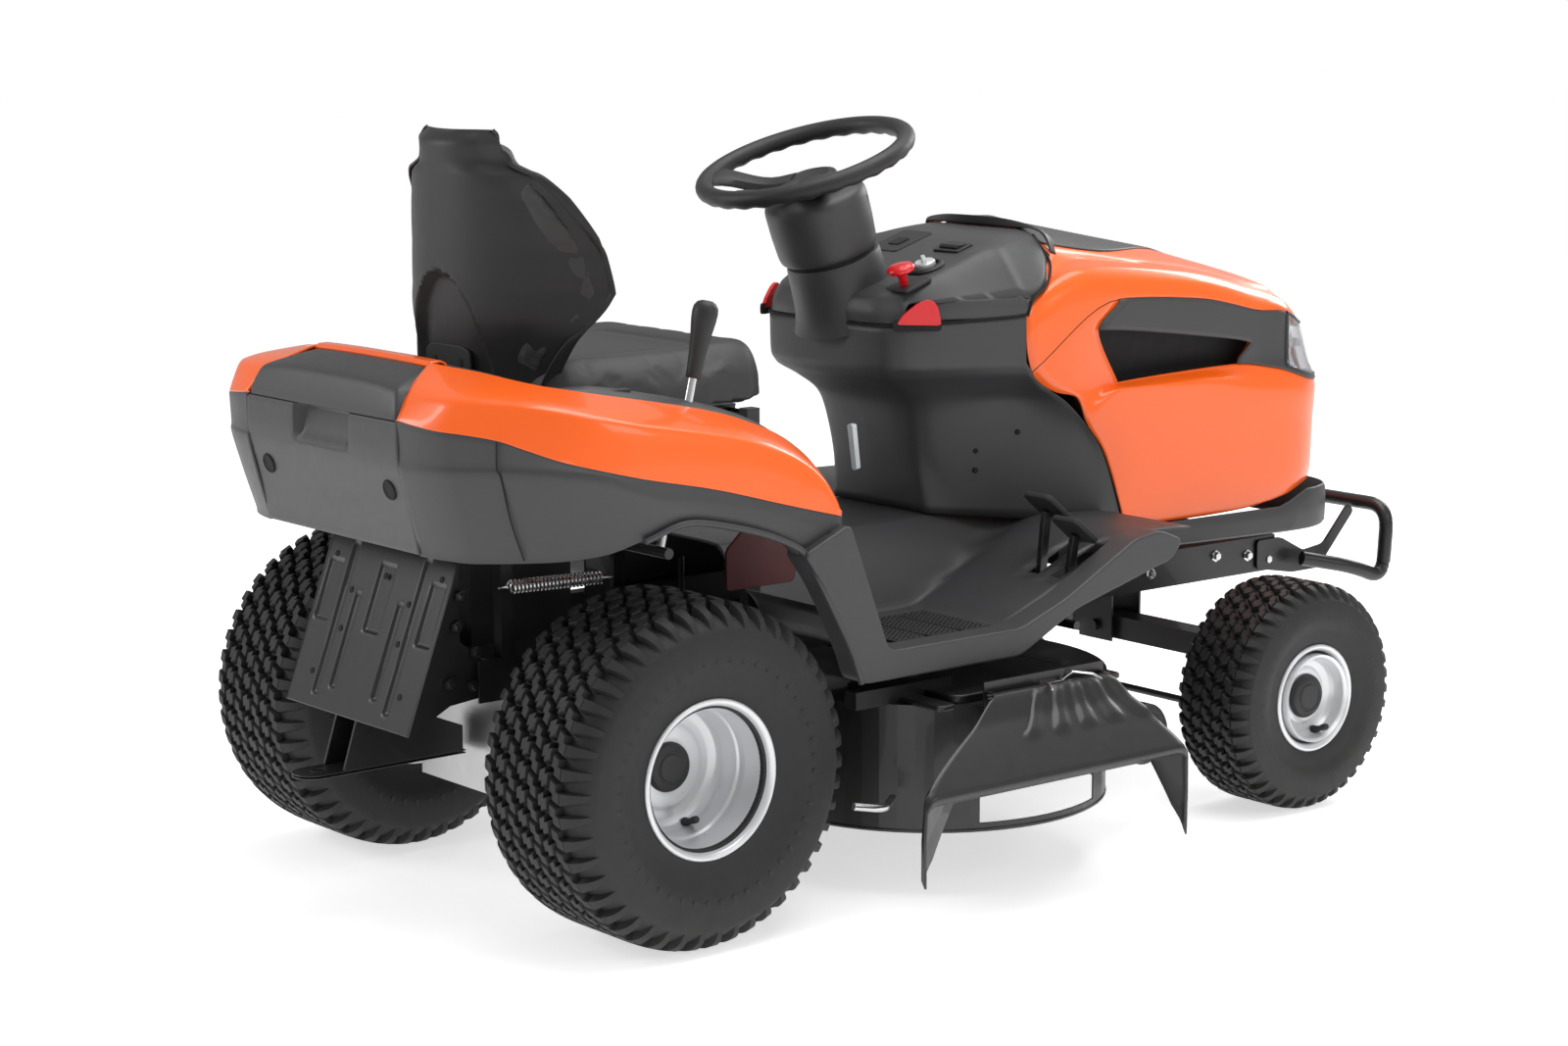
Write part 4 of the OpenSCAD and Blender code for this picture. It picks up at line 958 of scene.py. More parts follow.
    def top_line(self, x: np.ndarray) -> np.ndarray:
        """Height of the middle line of the top."""
        return np.interp(x, [929, 1059, 1180, 1304, 1403, 1470, 1505, 1520],
                         [979, 955, 931, 907, 881, 862, 850, 843])

    def top(self, ridge: np.ndarray, start: float | np.ndarray = 0.0, lift: float = 0.0) -> np.ndarray:
        """The crowned top between the ridge and the middle line.

        Args:
            ridge: Length, inset and height of the ridge.
            start: Where the sheet starts, from 0 at the ridge to 1 at the middle.
            lift: Height added to the surface.

        Returns:
            A grid of points from the ridge to the middle.
        """
        line = self.lay(ridge)
        x0, y0, z0 = line[:, 0], line[:, 1], line[:, 2]
        t = np.broadcast_to(start, len(x0))[:, None]
        t = t + (1 - t) * np.linspace(0, 1, 25)[None]
        mid_x = np.where(x0 < 1400, x0 - 12 * step_in(1100 - x0, 0, 150), 1400 + (x0 - 1400) * 0.98)
        mid = np.maximum(self.top_line(mid_x), z0)
        rise = np.sin(t * np.pi / 2) ** 0.85
        return np.stack([x0[:, None] + (mid_x - x0)[:, None] * t, -np.abs(y0)[:, None] * (1 - t),
                         z0[:, None] + (mid - z0)[:, None] * rise + lift], -1)

    def scuttle(self, shop: Shop) -> None:
        """The dark cover between the hood and the dash, split by a V in the middle.

        Args:
            shop: Where the piece is made.
        """
        rows = np.array([
            [(944, 0, 962), (944, 60, 962), (947, 128, 963), (958, 146, 950), (962, 158, 924)],
            [(936, 0, 978), (940, 60, 977), (950, 130, 967), (960, 148, 953), (964, 159, 926)],
            [(968, 0, 977), (962, 60, 972), (964, 126, 962), (970, 146, 948), (972, 159, 922)],
            [(1010, 0, 967), (980, 60, 968), (974, 120, 961), (976, 146, 946), (976, 158, 920)]], float)
        p = net(rows, 5, 6) * np.array([1, -1, 1])
        cover = Shape().sheet(p, None, (1000, 0, 800)).both_sides()
        shop.make("scuttle_cover_dressed", cover, MOULDING, "hood", ["hood_cover"], thick=3.0, sharp=30,
                  turn_out=False)

    def vents(self, shop: Shop) -> None:
        """The side trims: a dark band with a turned lower edge, and under it a black sheet set 34 mm inside the
        opening as painted shade.

        Args:
            shop: Where the pieces are made.
        """
        fine, dense = self.fine, self.dense()
        band = dense[4 * fine:6 * fine + 1, fine:6 * fine + 1].copy()
        row, col = np.meshgrid(4 + np.arange(2 * fine) / fine, 1 + np.arange(5 * fine) / fine, indexing="ij")
        lens = (col >= 4.2) & (row >= 4.35)
        band[..., 1] -= 2.0
        trim = Shape().sheet(self.lay(band), ~lens & ((row >= 5) | (col >= 3)), (1200, 0, 700)).both_sides()
        shop.make("vent_trim_dressed", trim, MOULDING, "hood", ["vent_trim"], thick=3.0, sharp=28,
                  turn_out=False)
        # Painted shade: a black sheet set 34 mm inside the vent stands for the shadow in the hollow opening.
        inner = dense[4 * fine - 4:6 * fine + 1, fine - 3:3 * fine + 4].copy()
        inner[..., 1] += 34.0
        dark = Shape().sheet(self.lay(inner), None, (1200, 0, 700)).both_sides()
        shop.make("vent_painted_shade", dark, SOCKET_BLACK, "hood", thick=1.0, turn_out=False)

    def lamps(self, shop: Shop) -> None:
        """The wrap-round lamps: clear lens, bright reflectors with bulbs and a dark surround.

        Args:
            shop: Where the pieces are made.
        """
        fine, dense = self.fine, self.dense()
        lens = dense[4 * fine + 3:6 * fine + 1, 4 * fine + 2:6 * fine + 1].copy()
        lens[..., 1] -= 1.0
        along = np.linspace(0, 1, lens.shape[1])[None]
        up = np.linspace(0, 1, lens.shape[0])[:, None]
        glass = Shape().sheet(self.lay(lens), None, (1300, 0, 700)).both_sides()
        shop.make("lamp_lens_dressed", glass, LENS, "hood", ["headlamps"], thick=2.0, turn_out=False)
        back = lens.copy()
        back[..., 1] += 26.0 + 22.0 * np.sin(along * np.pi * 3) ** 2 * np.sin(up * np.pi)
        bowl = Shape().sheet(self.lay(back), None, (1300, 0, 700)).both_sides()
        shop.make("lamp_reflectors", bowl, REFLECTOR, "hood", thick=1.0, sharp=20, turn_out=False)
        rim = Shape()
        rim.tube(self.lay(border(lens)), 2.6, 8, loop=True, up=(0.31, 0.2, 0.92))
        rim.both_sides()
        shop.make("lamp_surround", rim, SOFT_BLACK, "hood")
        bulbs = Shape()
        for s, z in ((672, 742), (745, 735)):
            x, y = hood_plan(np.array([s, s]), np.array([34.0, 8.0]))
            bulbs.turned([(0, 0), (9, 0), (9, 6), (7, 8), (7, 16), (4.5, 19), (0, 20)], (x[0], -y[0], z),
                         (x[1] - x[0], -(y[1] - y[0]), 0), 20)
        bulbs.both_sides()
        shop.make("lamp_bulbs", bulbs, TANK, "hood")


# --------------------------------------------------------------------------- rear body
RIGHT = np.array([1.0, -1.0, 1.0])


@dataclass
class RearBody:
    """Wheel cover: painted top, dark skirt with its creases and pillars, inner trim and engine lid."""

    low: tuple = ((262, 458, 602), (205, 458, 617), (150, 458, 632), (30, 458, 665), (-90, 456, 691),
                  (-160, 442, 709), (-205, 418, 722), (-240, 386, 737), (-268, 352, 750), (-300, 312, 757),
                  (-318, 285, 760), (-330, 240, 765), (-334, 205, 769))
    shoulder: tuple = ((264, 453, 610), (238, 453, 650), (196, 450, 684), (96, 449, 724), (-90, 446, 762),
                       (-150, 434, 776), (-192, 413, 786), (-226, 384, 793), (-252, 350, 797),
                       (-282, 312, 800), (-298, 283, 800), (-307, 238, 799), (-312, 190, 797))
    top: tuple = ((270, 420, 640), (256, 400, 672), (212, 388, 712), (110, 375, 755), (-110, 356, 801),
                  (-145, 340, 808), (-170, 320, 813), (-184, 296, 817), (-195, 268, 821), (-205, 240, 825),
                  (-214, 212, 828), (-230, 180, 832), (-244, 152, 836))
    skirt_low: tuple = ((246, 456, 560), (199, 457, 545), (160, 457, 570), (69, 457, 604), (-20, 455, 621),
                        (-85, 440, 601), (-134, 420, 584), (-185, 388, 576), (-222, 352, 573),
                        (-258, 312, 571), (-276, 285, 570), (-292, 240, 571), (-300, 205, 572))

    def build(self, shop: Shop) -> None:
        """Makes the pieces of the rear body.

        Args:
            shop: Where the pieces are made.
        """
        self.painted(shop)
        self.skirt(shop)
        self.pillars(shop)
        self.inner(shop)
        self.lid(shop)

    def painted(self, shop: Shop) -> None:
        """The painted top: over a tight shoulder to the inner edge, and a strip over the lid.

        Args:
            shop: Where the piece is made.
        """
        low, sh, top = (np.array(a, float) for a in (self.low, self.shoulder, self.top))
        under = low + (0, -5, -2)
        mid = low * 0.35 + sh * 0.65 + (0, 2.5, 1)
        sh2 = sh * 0.82 + top * 0.18 + (0, 0, 4)
        inner = top + (3, -4, -12)
        rows = np.stack([under, low, mid, sh, sh2, top + (0, 0, 1), inner])
        p = net(rows, 5, 5) * RIGHT
        shell = Shape().sheet(p, None, (-50, 0, 600))
        y = np.linspace(0, 1, 17)
        edge = np.array([(-252.0, 829), (-253, 836), (-247, 841.5), (-232, 842), (-224, 838), (-221, 826)])
        strip = np.zeros((len(edge), 17, 3))
        strip[..., 0] = edge[:, :1] + 7 * y[None] ** 2
        strip[..., 1] = -154 * y[None]
        strip[..., 2] = edge[:, 1:] - 3.5 * y[None] ** 2
        shell.sheet(strip, None, (-235, 0, 800))
        shell.both_sides()
        shop.make("fender_top_dressed", shell, PAINT, "chassis", ["fender_shell"], thick=3.5, sharp=30,
                  turn_out=False)

    def skirt(self, shop: Shop) -> None:
        """The dark skirt: a step under the paint, a crease that flares out, a tuck to the bottom.

        Args:
            shop: Where the piece is made.
        """
        low, bottom = np.array(self.low, float), np.array(self.skirt_low, float)
        out = np.array([(0, 1), (0, 1), (0, 1), (0, 1), (-0.05, 1), (-0.35, 0.94), (-0.6, 0.8), (-0.75, 0.66),
                        (-0.82, 0.57), (-0.88, 0.47), (-0.93, 0.36), (-0.98, 0.2), (-1, 0)])
        push = np.column_stack([out, np.zeros(13)])
        crease_z = np.array([592, 601, 622, 652, 674, 700, 708, 712, 713, 712, 712, 711, 711.0])
        crease = low.copy()
        crease[:, 2] = np.minimum(crease_z, low[:, 2] - 8)
        crease[:, :2] = low[:, :2] + (bottom[:, :2] - low[:, :2]) * 0.1
        upper = low + (0, 0, -2.5) + push * 0.6
        under = crease + push * 2.0
        fold = crease + push * 3.2 + (0, 0, -10)
        belly = crease * 0.45 + bottom * 0.55 + push * 3.5
        lip = bottom + push * 1.0 + (0, 0, 7)
        hem = bottom - push * 14
        rows = np.stack([low - push * 7 + (0, 0, 4), upper - push * 0.3, under, fold, belly, lip,
                         bottom, hem])
        p = net(rows, 4, 5) * RIGHT
        skin = Shape().sheet(p, None, (-50, 0, 600))
        self.back(skin)
        skin.both_sides()
        shop.make("fender_skirt_dressed", skin, MOULDING, "chassis", ["fender_skirt"], thick=3.5, sharp=26,
                  turn_out=False)
        cuts = Shape()
        cuts.turned([(0, 1.2), (11, 1.2), (12.5, 2.4), (14.5, 2.0), (15.5, 0.5), (15.5, -6)],
                    (-323, -165, 664), (-0.97, 0, -0.24), 28)
        cuts.both_sides()
        shop.make("skirt_screw_recesses", cuts, SOCKET_BLACK, "chassis")
        self.seam(shop)

    def back(self, skin: Shape) -> None:
        """Adds the middle of the skirt, under the lid, with the finger notch.

        Args:
            skin: Shape that gets it.
        """
        z = np.array([768, 762, 730, 708, 700, 640, 588, 574, 571.0])
        x = np.array([-326, -334, -334.5, -333, -332, -316, -304, -301, -288.0])
        y = np.linspace(0, 205, 36)
        grid = np.zeros((len(z), len(y), 3))
        grid[..., 0], grid[..., 1], grid[..., 2] = x[:, None], -y[None], z[:, None]
        notch = 1 - step_in(y, 62, 78)
        grid[1, :, 0] += 20 * notch
        grid[2, :, 0] += 14 * notch
        grid[1, :, 2] -= 4 * notch
        fine = np.swapaxes(curve(grid, 4), 0, 1)
        skin.sheet(np.swapaxes(fine, 0, 1), None, (-50, 0, 650))

    def seam(self, shop: Shop) -> None:
        """The upright joint between the rear and the side mouldings: a dark hair line.

        Args:
            shop: Where the piece is made.
        """
        line = np.array([(-268, 354, 748), (-268, 354, 712), (-262, 354, 700), (-246, 354, 636),
                         (-224, 353, 578)])
        push = np.array([-0.8, 0.6, 0])
        path = (curve(line, 6) + push * 3.6) * RIGHT
        groove = Shape().tube(path, 1.3, 8, up=(0.6, -0.8, 0.05)).both_sides()
        shop.make("skirt_joint", groove, SOCKET_BLACK, "chassis")

    def pillars(self, shop: Shop) -> None:
        """The rounded arch edge that runs along the skirt and down the pillar, and the bolt at its top.

        Args:
            shop: Where the pieces are made.
        """
        arch = np.array([(-85, 446, 601), (-20, 460, 622), (69, 464, 605), (150, 466, 577), (185, 468, 556),
                         (206, 470, 520), (240, 472, 458), (271, 474, 397), (287, 475, 352)], float)
        path = curve(arch, 6)
        lip = Shape().tube(path * RIGHT, 5.0, 12).both_sides()
        shop.make("arch_lip", lip, MOULDING, "chassis")
        bolt = Shape().turned([(0, 5.5), (4, 5.5), (5, 4.4), (8, 3.6), (9, 1.5), (9, -3)], (238, -461, 574),
                              (0, -1, 0), 24).both_sides()
        shop.make("pillar_bolts", bolt, SOCKET_BLACK, "chassis")

    def inner(self, shop: Shop) -> None:
        """The trim between the painted top and the seat: a stepped tray with ribs and a slot for the lever.

        Args:
            shop: Where the pieces are made.
        """
        top = np.array(self.top, float) + (2, -4, -5)
        lift = 15 * step_in(top[:, 0], -170, -110) * step_in(-top[:, 0], -262, -215)
        step = top * 0.55 + np.array([60, 150, 782]) * 0.45
        step[:, 1] = np.minimum(top[:, 1] - 24, 340)
        step[:, 0] = top[:, 0] + np.linspace(-6, 42, 13)
        step[:, 2] = top[:, 2] - 2 + lift
        dip = step.copy()
        dip[:, 1] -= 12
        dip[:, 2] -= 16
        dip[:, 0] += np.linspace(0, 8, 13)
        well = dip.copy()
        well[:, 1] = np.linspace(292, 150, 13)
        well[:, 0] = dip[:, 0] * 0.6 + np.linspace(80, -76, 13) * 0.4
        well[:, 2] = np.minimum(dip[:, 2] - 20, 722)
        rows = np.stack([top, (top + step) / 2 + (0, 0, 3), step, dip, well])
        p = net(rows, 4, 5) * RIGHT
        tray = Shape().sheet(p, None, (0, 0, 400)).both_sides()
        shop.make("fender_trim_dressed", tray, MOULDING, "chassis", ["fender_trim"], thick=3.0, sharp=28,
                  turn_out=False)
        ribs = Shape()
        for k in range(9):
            x = 92.0 + k * 13
            z = 764 - (x - 90) * 0.3
            ribs.box((x, -331, z - 14), (x + 5, -314, z + 1.5))
        ribs.box((-118, -342, 780), (-30, -326, 801))
        shop.make("trim_ribs", ribs, SOFT_BLACK, "chassis", bevel=1.5)
        slot = Shape().slab(rounded([(60, -349), (160, -349), (160, -331), (60, -331)], 9), (0, 0, 756.0),
                            (1, 0, -0.16), (0, 1, 0), 4)
        shop.make("lever_slot", slot, SOCKET_BLACK, "chassis")

    def lid(self, shop: Shop) -> None:
        """The engine lid: a leaning panel with a bright crease and turned edges.

        Args:
            shop: Where the piece is made.
        """
        rows = np.array([
            [(-322, 0, 764), (-322, 100, 764), (-320, 190, 764), (-312, 198, 764)],
            [(-334, 0, 767), (-334, 100, 767), (-333, 194, 767), (-320, 202, 768)],
            [(-333, 0, 776), (-333, 100, 776), (-332, 195, 775), (-319, 203, 775)],
            [(-322, 0, 812), (-322, 100, 811), (-320, 183, 806), (-308, 192, 800)],
            [(-314, 0, 818), (-314, 98, 817), (-312, 180, 811), (-300, 189, 806)],
            [(-262, 0, 833), (-260, 90, 832), (-256, 148, 829), (-247, 154, 826)],
            [(-252, 0, 834), (-251, 88, 833), (-249, 144, 830), (-243, 150, 826)],
            [(-248, 0, 826), (-247, 88, 826), (-246, 140, 824), (-243, 146, 820)]], float)
        p = net(rows, 4, 7) * RIGHT
        panel = Shape().sheet(p, None, (-200, 0, 760)).both_sides()
        shop.make("rear_lid_dressed", panel, MOULDING, "rear_lid", ["rear_lid"], thick=3.0, sharp=24,
                  turn_out=False)


# --------------------------------------------------------------------------- seat
@dataclass
class Seat:
    """High-backed seat: a stiff rear shell, a padded back and a padded cushion in leathery vinyl."""

    lean: float = 12 / 547

    def build(self, shop: Shop) -> None:
        """Makes the shell, the pads and the seams.

        Args:
            shop: Where the pieces are made.
        """
        self.back(shop)
        self.cushion(shop)
        self.shell(shop)

    def half_width(self, z: np.ndarray) -> np.ndarray:
        """Half width of the back over its height."""
        at = np.array([748, 800, 838, 856, 882, 908, 930, 965,
                       1010, 1050, 1080, 1093, 1101, 1112, 1146, 1157.0])
        half = np.array([150, 170, 190, 202, 226, 238, 239, 234, 221, 203, 182, 166, 140, 116, 104, 90.0])
        fine = curve(np.stack([at, half], 1), 8)
        return np.interp(z, fine[:, 0], fine[:, 1])

    def plane(self, z: np.ndarray) -> np.ndarray:
        """x of the plane between shell and pad."""
        return -84 - (z - 753) * self.lean

    def wrap(self, y: np.ndarray, z: np.ndarray) -> np.ndarray:
        """How far the back curves forward at its sides."""
        deep = np.interp(z, [748, 800, 860, 924, 985, 1060, 1110, 1157], [34, 44, 62, 98, 92, 58, 26, 8])
        return deep * np.clip(np.abs(y) / 226, 0, 1) ** 2.2

    def shell(self, shop: Shop) -> None:
        """The stiff shell: a shield outline with a pressed arch, curved forward at its sides.

        Args:
            shop: Where the piece is made.
        """
        z = np.concatenate([np.linspace(748, 1060, 40), np.linspace(1066, 1157, 26)])
        t = np.linspace(-1, 1, 61)
        half = self.half_width(z)
        y = t[None] * half[:, None]
        zz = np.repeat(z[:, None], 61, 1)
        at = [748, 800, 860, 924, 985, 1060, 1110, 1157]
        fold = 0.69
        inwards = np.minimum(np.abs(t) / fold, 1)[None] ** 2.5
        outwards = np.clip((np.abs(t) - fold) / 0.31, 0, 1)[None]
        face = np.interp(z, at, [45, 50, 56, 75, 72, 54, 34, 20])[:, None] * inwards
        side = np.interp(z, at, [34, 38, 46, 74, 68, 46, 26, 14])[:, None] * outwards
        back = self.plane(zz) - 40 + face + side
        arch_half = np.interp(z, [748, 800, 860, 900, 938, 950], [92, 88, 78, 62, 30, 1])[:, None]
        inside = step_in(-np.abs(y), -arch_half - 7, -arch_half + 5) * step_in(-zz, -955, -938)
        back = back + 15 * inside
        groove = np.exp(-((np.abs(y) - arch_half - 12) / 5.0) ** 2) * (zz < 950)
        back = back - 2.0 * groove
        top = step_in(zz, 1128, 1157)
        back = back + 16 * top ** 2
        grid = np.stack([back, y, zz], -1)
        rim = border(grid)
        lip = rim.copy()
        centre = np.array([0, 0, 940.0])
        lip += (centre - lip) * (0, 0.03, 0.012)
        lip[:, 0] = self.plane(lip[:, 2]) + self.wrap(lip[:, 1], lip[:, 2]) + 6
        shell = Shape().sheet(grid, None, (60, 0, 900))
        n = len(rim)
        shell.add(np.concatenate([rim, lip]), grid_faces(2, n, wrap_v=True))
        shop.make("seat_shell_dressed", shell, SOFT_BLACK, "seat", ["seat_shell"], thick=3.0, sharp=50,
                  turn_out=False)
        plate = Shape().slab(rounded([(-58, -30), (58, -30), (58, 34), (34, 40), (-34, 40), (-58, 34)], 10),
                             (-113, 0, 800), (0, 1, 0), (0, 0, 1), 5)
        shop.make("seat_bracket_plate", plate, SOFT_BLACK, "seat", bevel=1.5)
        holes = Shape()
        for y, z0 in ((34, 792), (34, 816)):
            holes.turned([(0, 1.2), (5.5, 1.2), (6.5, 0)], (-113.4, y, z0), (-1, 0, 0), 20)
        holes.both_sides()
        shop.make("seat_bracket_holes", holes, SOCKET_BLACK, "seat")

    def puff(self, obj: bpy.types.Object, voxel: float) -> None:
        """Blows a cover up as cloth: even mesh, pressure for twenty frames, then the fixed result.

        Args:
            obj: The cover.
            voxel: Size of the even mesh in metres.
        """
        for mod in list(obj.modifiers):
            obj.modifiers.remove(mod)
        bpy.context.view_layer.objects.active = obj
        even = obj.modifiers.new("even", "REMESH")
        even.mode = "VOXEL"
        even.voxel_size = voxel
        self.fix(obj)
        co = np.zeros(len(obj.data.vertices) * 3)
        obj.data.vertices.foreach_get("co", co)
        before = co.reshape(-1, 3).copy()
        cloth = obj.modifiers.new("cover", "CLOTH")
        cloth.settings.use_pressure = True
        cloth.settings.uniform_pressure_force = 4.0
        cloth.settings.quality = 6
        cloth.settings.mass = 0.35
        cloth.settings.tension_stiffness = 40
        cloth.settings.compression_stiffness = 40
        cloth.settings.shrink_min = -0.02
        cloth.settings.effector_weights.gravity = 0.0
        cloth.point_cache.frame_start, cloth.point_cache.frame_end = 1, 20
        for step in range(1, 21):
            bpy.context.scene.frame_set(step)
        after = np.zeros(len(obj.data.vertices) * 3)
        seen = obj.evaluated_get(bpy.context.evaluated_depsgraph_get()).to_mesh()
        seen.vertices.foreach_get("co", after)
        move = after.reshape(-1, 3) - before
        size = np.maximum(np.linalg.norm(move, axis=1, keepdims=True), 1e-9)
        move *= np.minimum(1.0, 0.006 / size)
        obj.modifiers.remove(cloth)
        obj.data.vertices.foreach_set("co", (before + move).ravel())
        bpy.context.scene.frame_set(1)
        soft = obj.modifiers.new("smooth", "SUBSURF")
        soft.levels = soft.render_levels = 1
        obj.data.shade_smooth()

    def fix(self, obj: bpy.types.Object) -> None:
        """Turns an object's modifiers into its own mesh."""
        made = bpy.data.meshes.new_from_object(obj.evaluated_get(bpy.context.evaluated_depsgraph_get()))
        obj.modifiers.clear()
        old = obj.data
        obj.data = made
        made.name = old.name

    def pad(self, front: np.ndarray, back: np.ndarray) -> Shape:
        """Closes two grids of the same size into one padded body."""
        nu, nv = front.shape[:2]
        shape = Shape().sheet(front, None, back.reshape(-1, 3).mean(0))
        shape.sheet(back, None, front.reshape(-1, 3).mean(0))
        ring = np.stack([border(front), border(back)])
        return shape.add(ring, grid_faces(2, 2 * (nu + nv) - 4, wrap_v=True))

    def back(self, shop: Shop) -> None:
        """The padded back: crowned, with two bolsters, a lumbar roll and stitched channels.

        Args:
            shop: Where the pieces are made.
        """
        z = np.concatenate([np.linspace(806, 1060, 44), np.linspace(1066, 1150, 22)])
        t = np.linspace(-1, 1, 57)
        half = self.half_width(z) - 20
        y = t[None] * half[:, None]
        zz = np.repeat(z[:, None], 57, 1)
        base = self.plane(zz) + self.wrap(y, zz) + 2
        crown = np.clip(1 - np.abs(t[None]) ** 6, 0, 1) ** 0.6
        ends = step_in(zz, 800, 830) * step_in(-zz, -1152, -1122)
        thick = 52 + 10 * np.exp(-((zz - 880) / 60) ** 2) + 10 * np.exp(-((np.abs(y) - 150) / 36) ** 2)
        seams = 7 * np.exp(-((np.abs(y) - 104) / 5.5) ** 2)
        seams = seams + 5 * np.exp(-((zz - 1086) / 5.0) ** 2) * (np.abs(y) < 104)
        front = np.stack([base + (thick - seams) * crown * (0.25 + 0.75 * ends), y, zz], -1)
        rear = np.stack([base, y, zz], -1)
        obj = shop.make("seat_backrest_pad", self.pad(front, rear), VINYL, "seat", ["seat_backrest"],
                        sharp=70)
        self.puff(obj, 0.006)

    def cushion(self, shop: Shop) -> None:
        """The padded cushion: a rounded front roll, raised sides and a stitched middle.

        Args:
            shop: Where the pieces are made.
        """
        x = np.linspace(-72, 352, 60)
        t = np.linspace(-1, 1, 57)
        half = np.interp(x, [-72, -30, 60, 200, 300, 335, 352], [168, 205, 226, 228, 214, 190, 158])
        y = t[None] * half[:, None]
        xx = np.repeat(x[:, None], 57, 1)
        crown = np.clip(1 - np.abs(t[None]) ** 7, 0, 1) ** 0.6
        ends = step_in(-xx, -354, -318) * (0.5 + 0.5 * step_in(xx, -72, -40))
        height = 72 + 9 * np.exp(-((np.abs(y) - 176) / 34) ** 2) + 10 * np.exp(-((xx - 290) / 55) ** 2)
        seams = 6 * np.exp(-((np.abs(y) - 124) / 5.0) ** 2) * (xx < 300)
        seams = seams + 5 * np.exp(-((xx - 246) / 4.5) ** 2) * (np.abs(y) < 124)
        top = np.stack([xx, y, 744 + (height - seams) * crown * (0.2 + 0.8 * ends)], -1)
        low = np.stack([xx, y, np.full_like(xx, 744.0)], -1)
        obj = shop.make("seat_cushion_pad", self.pad(top, low), VINYL, "seat", ["seat_cushion"], sharp=70)
        self.puff(obj, 0.006)


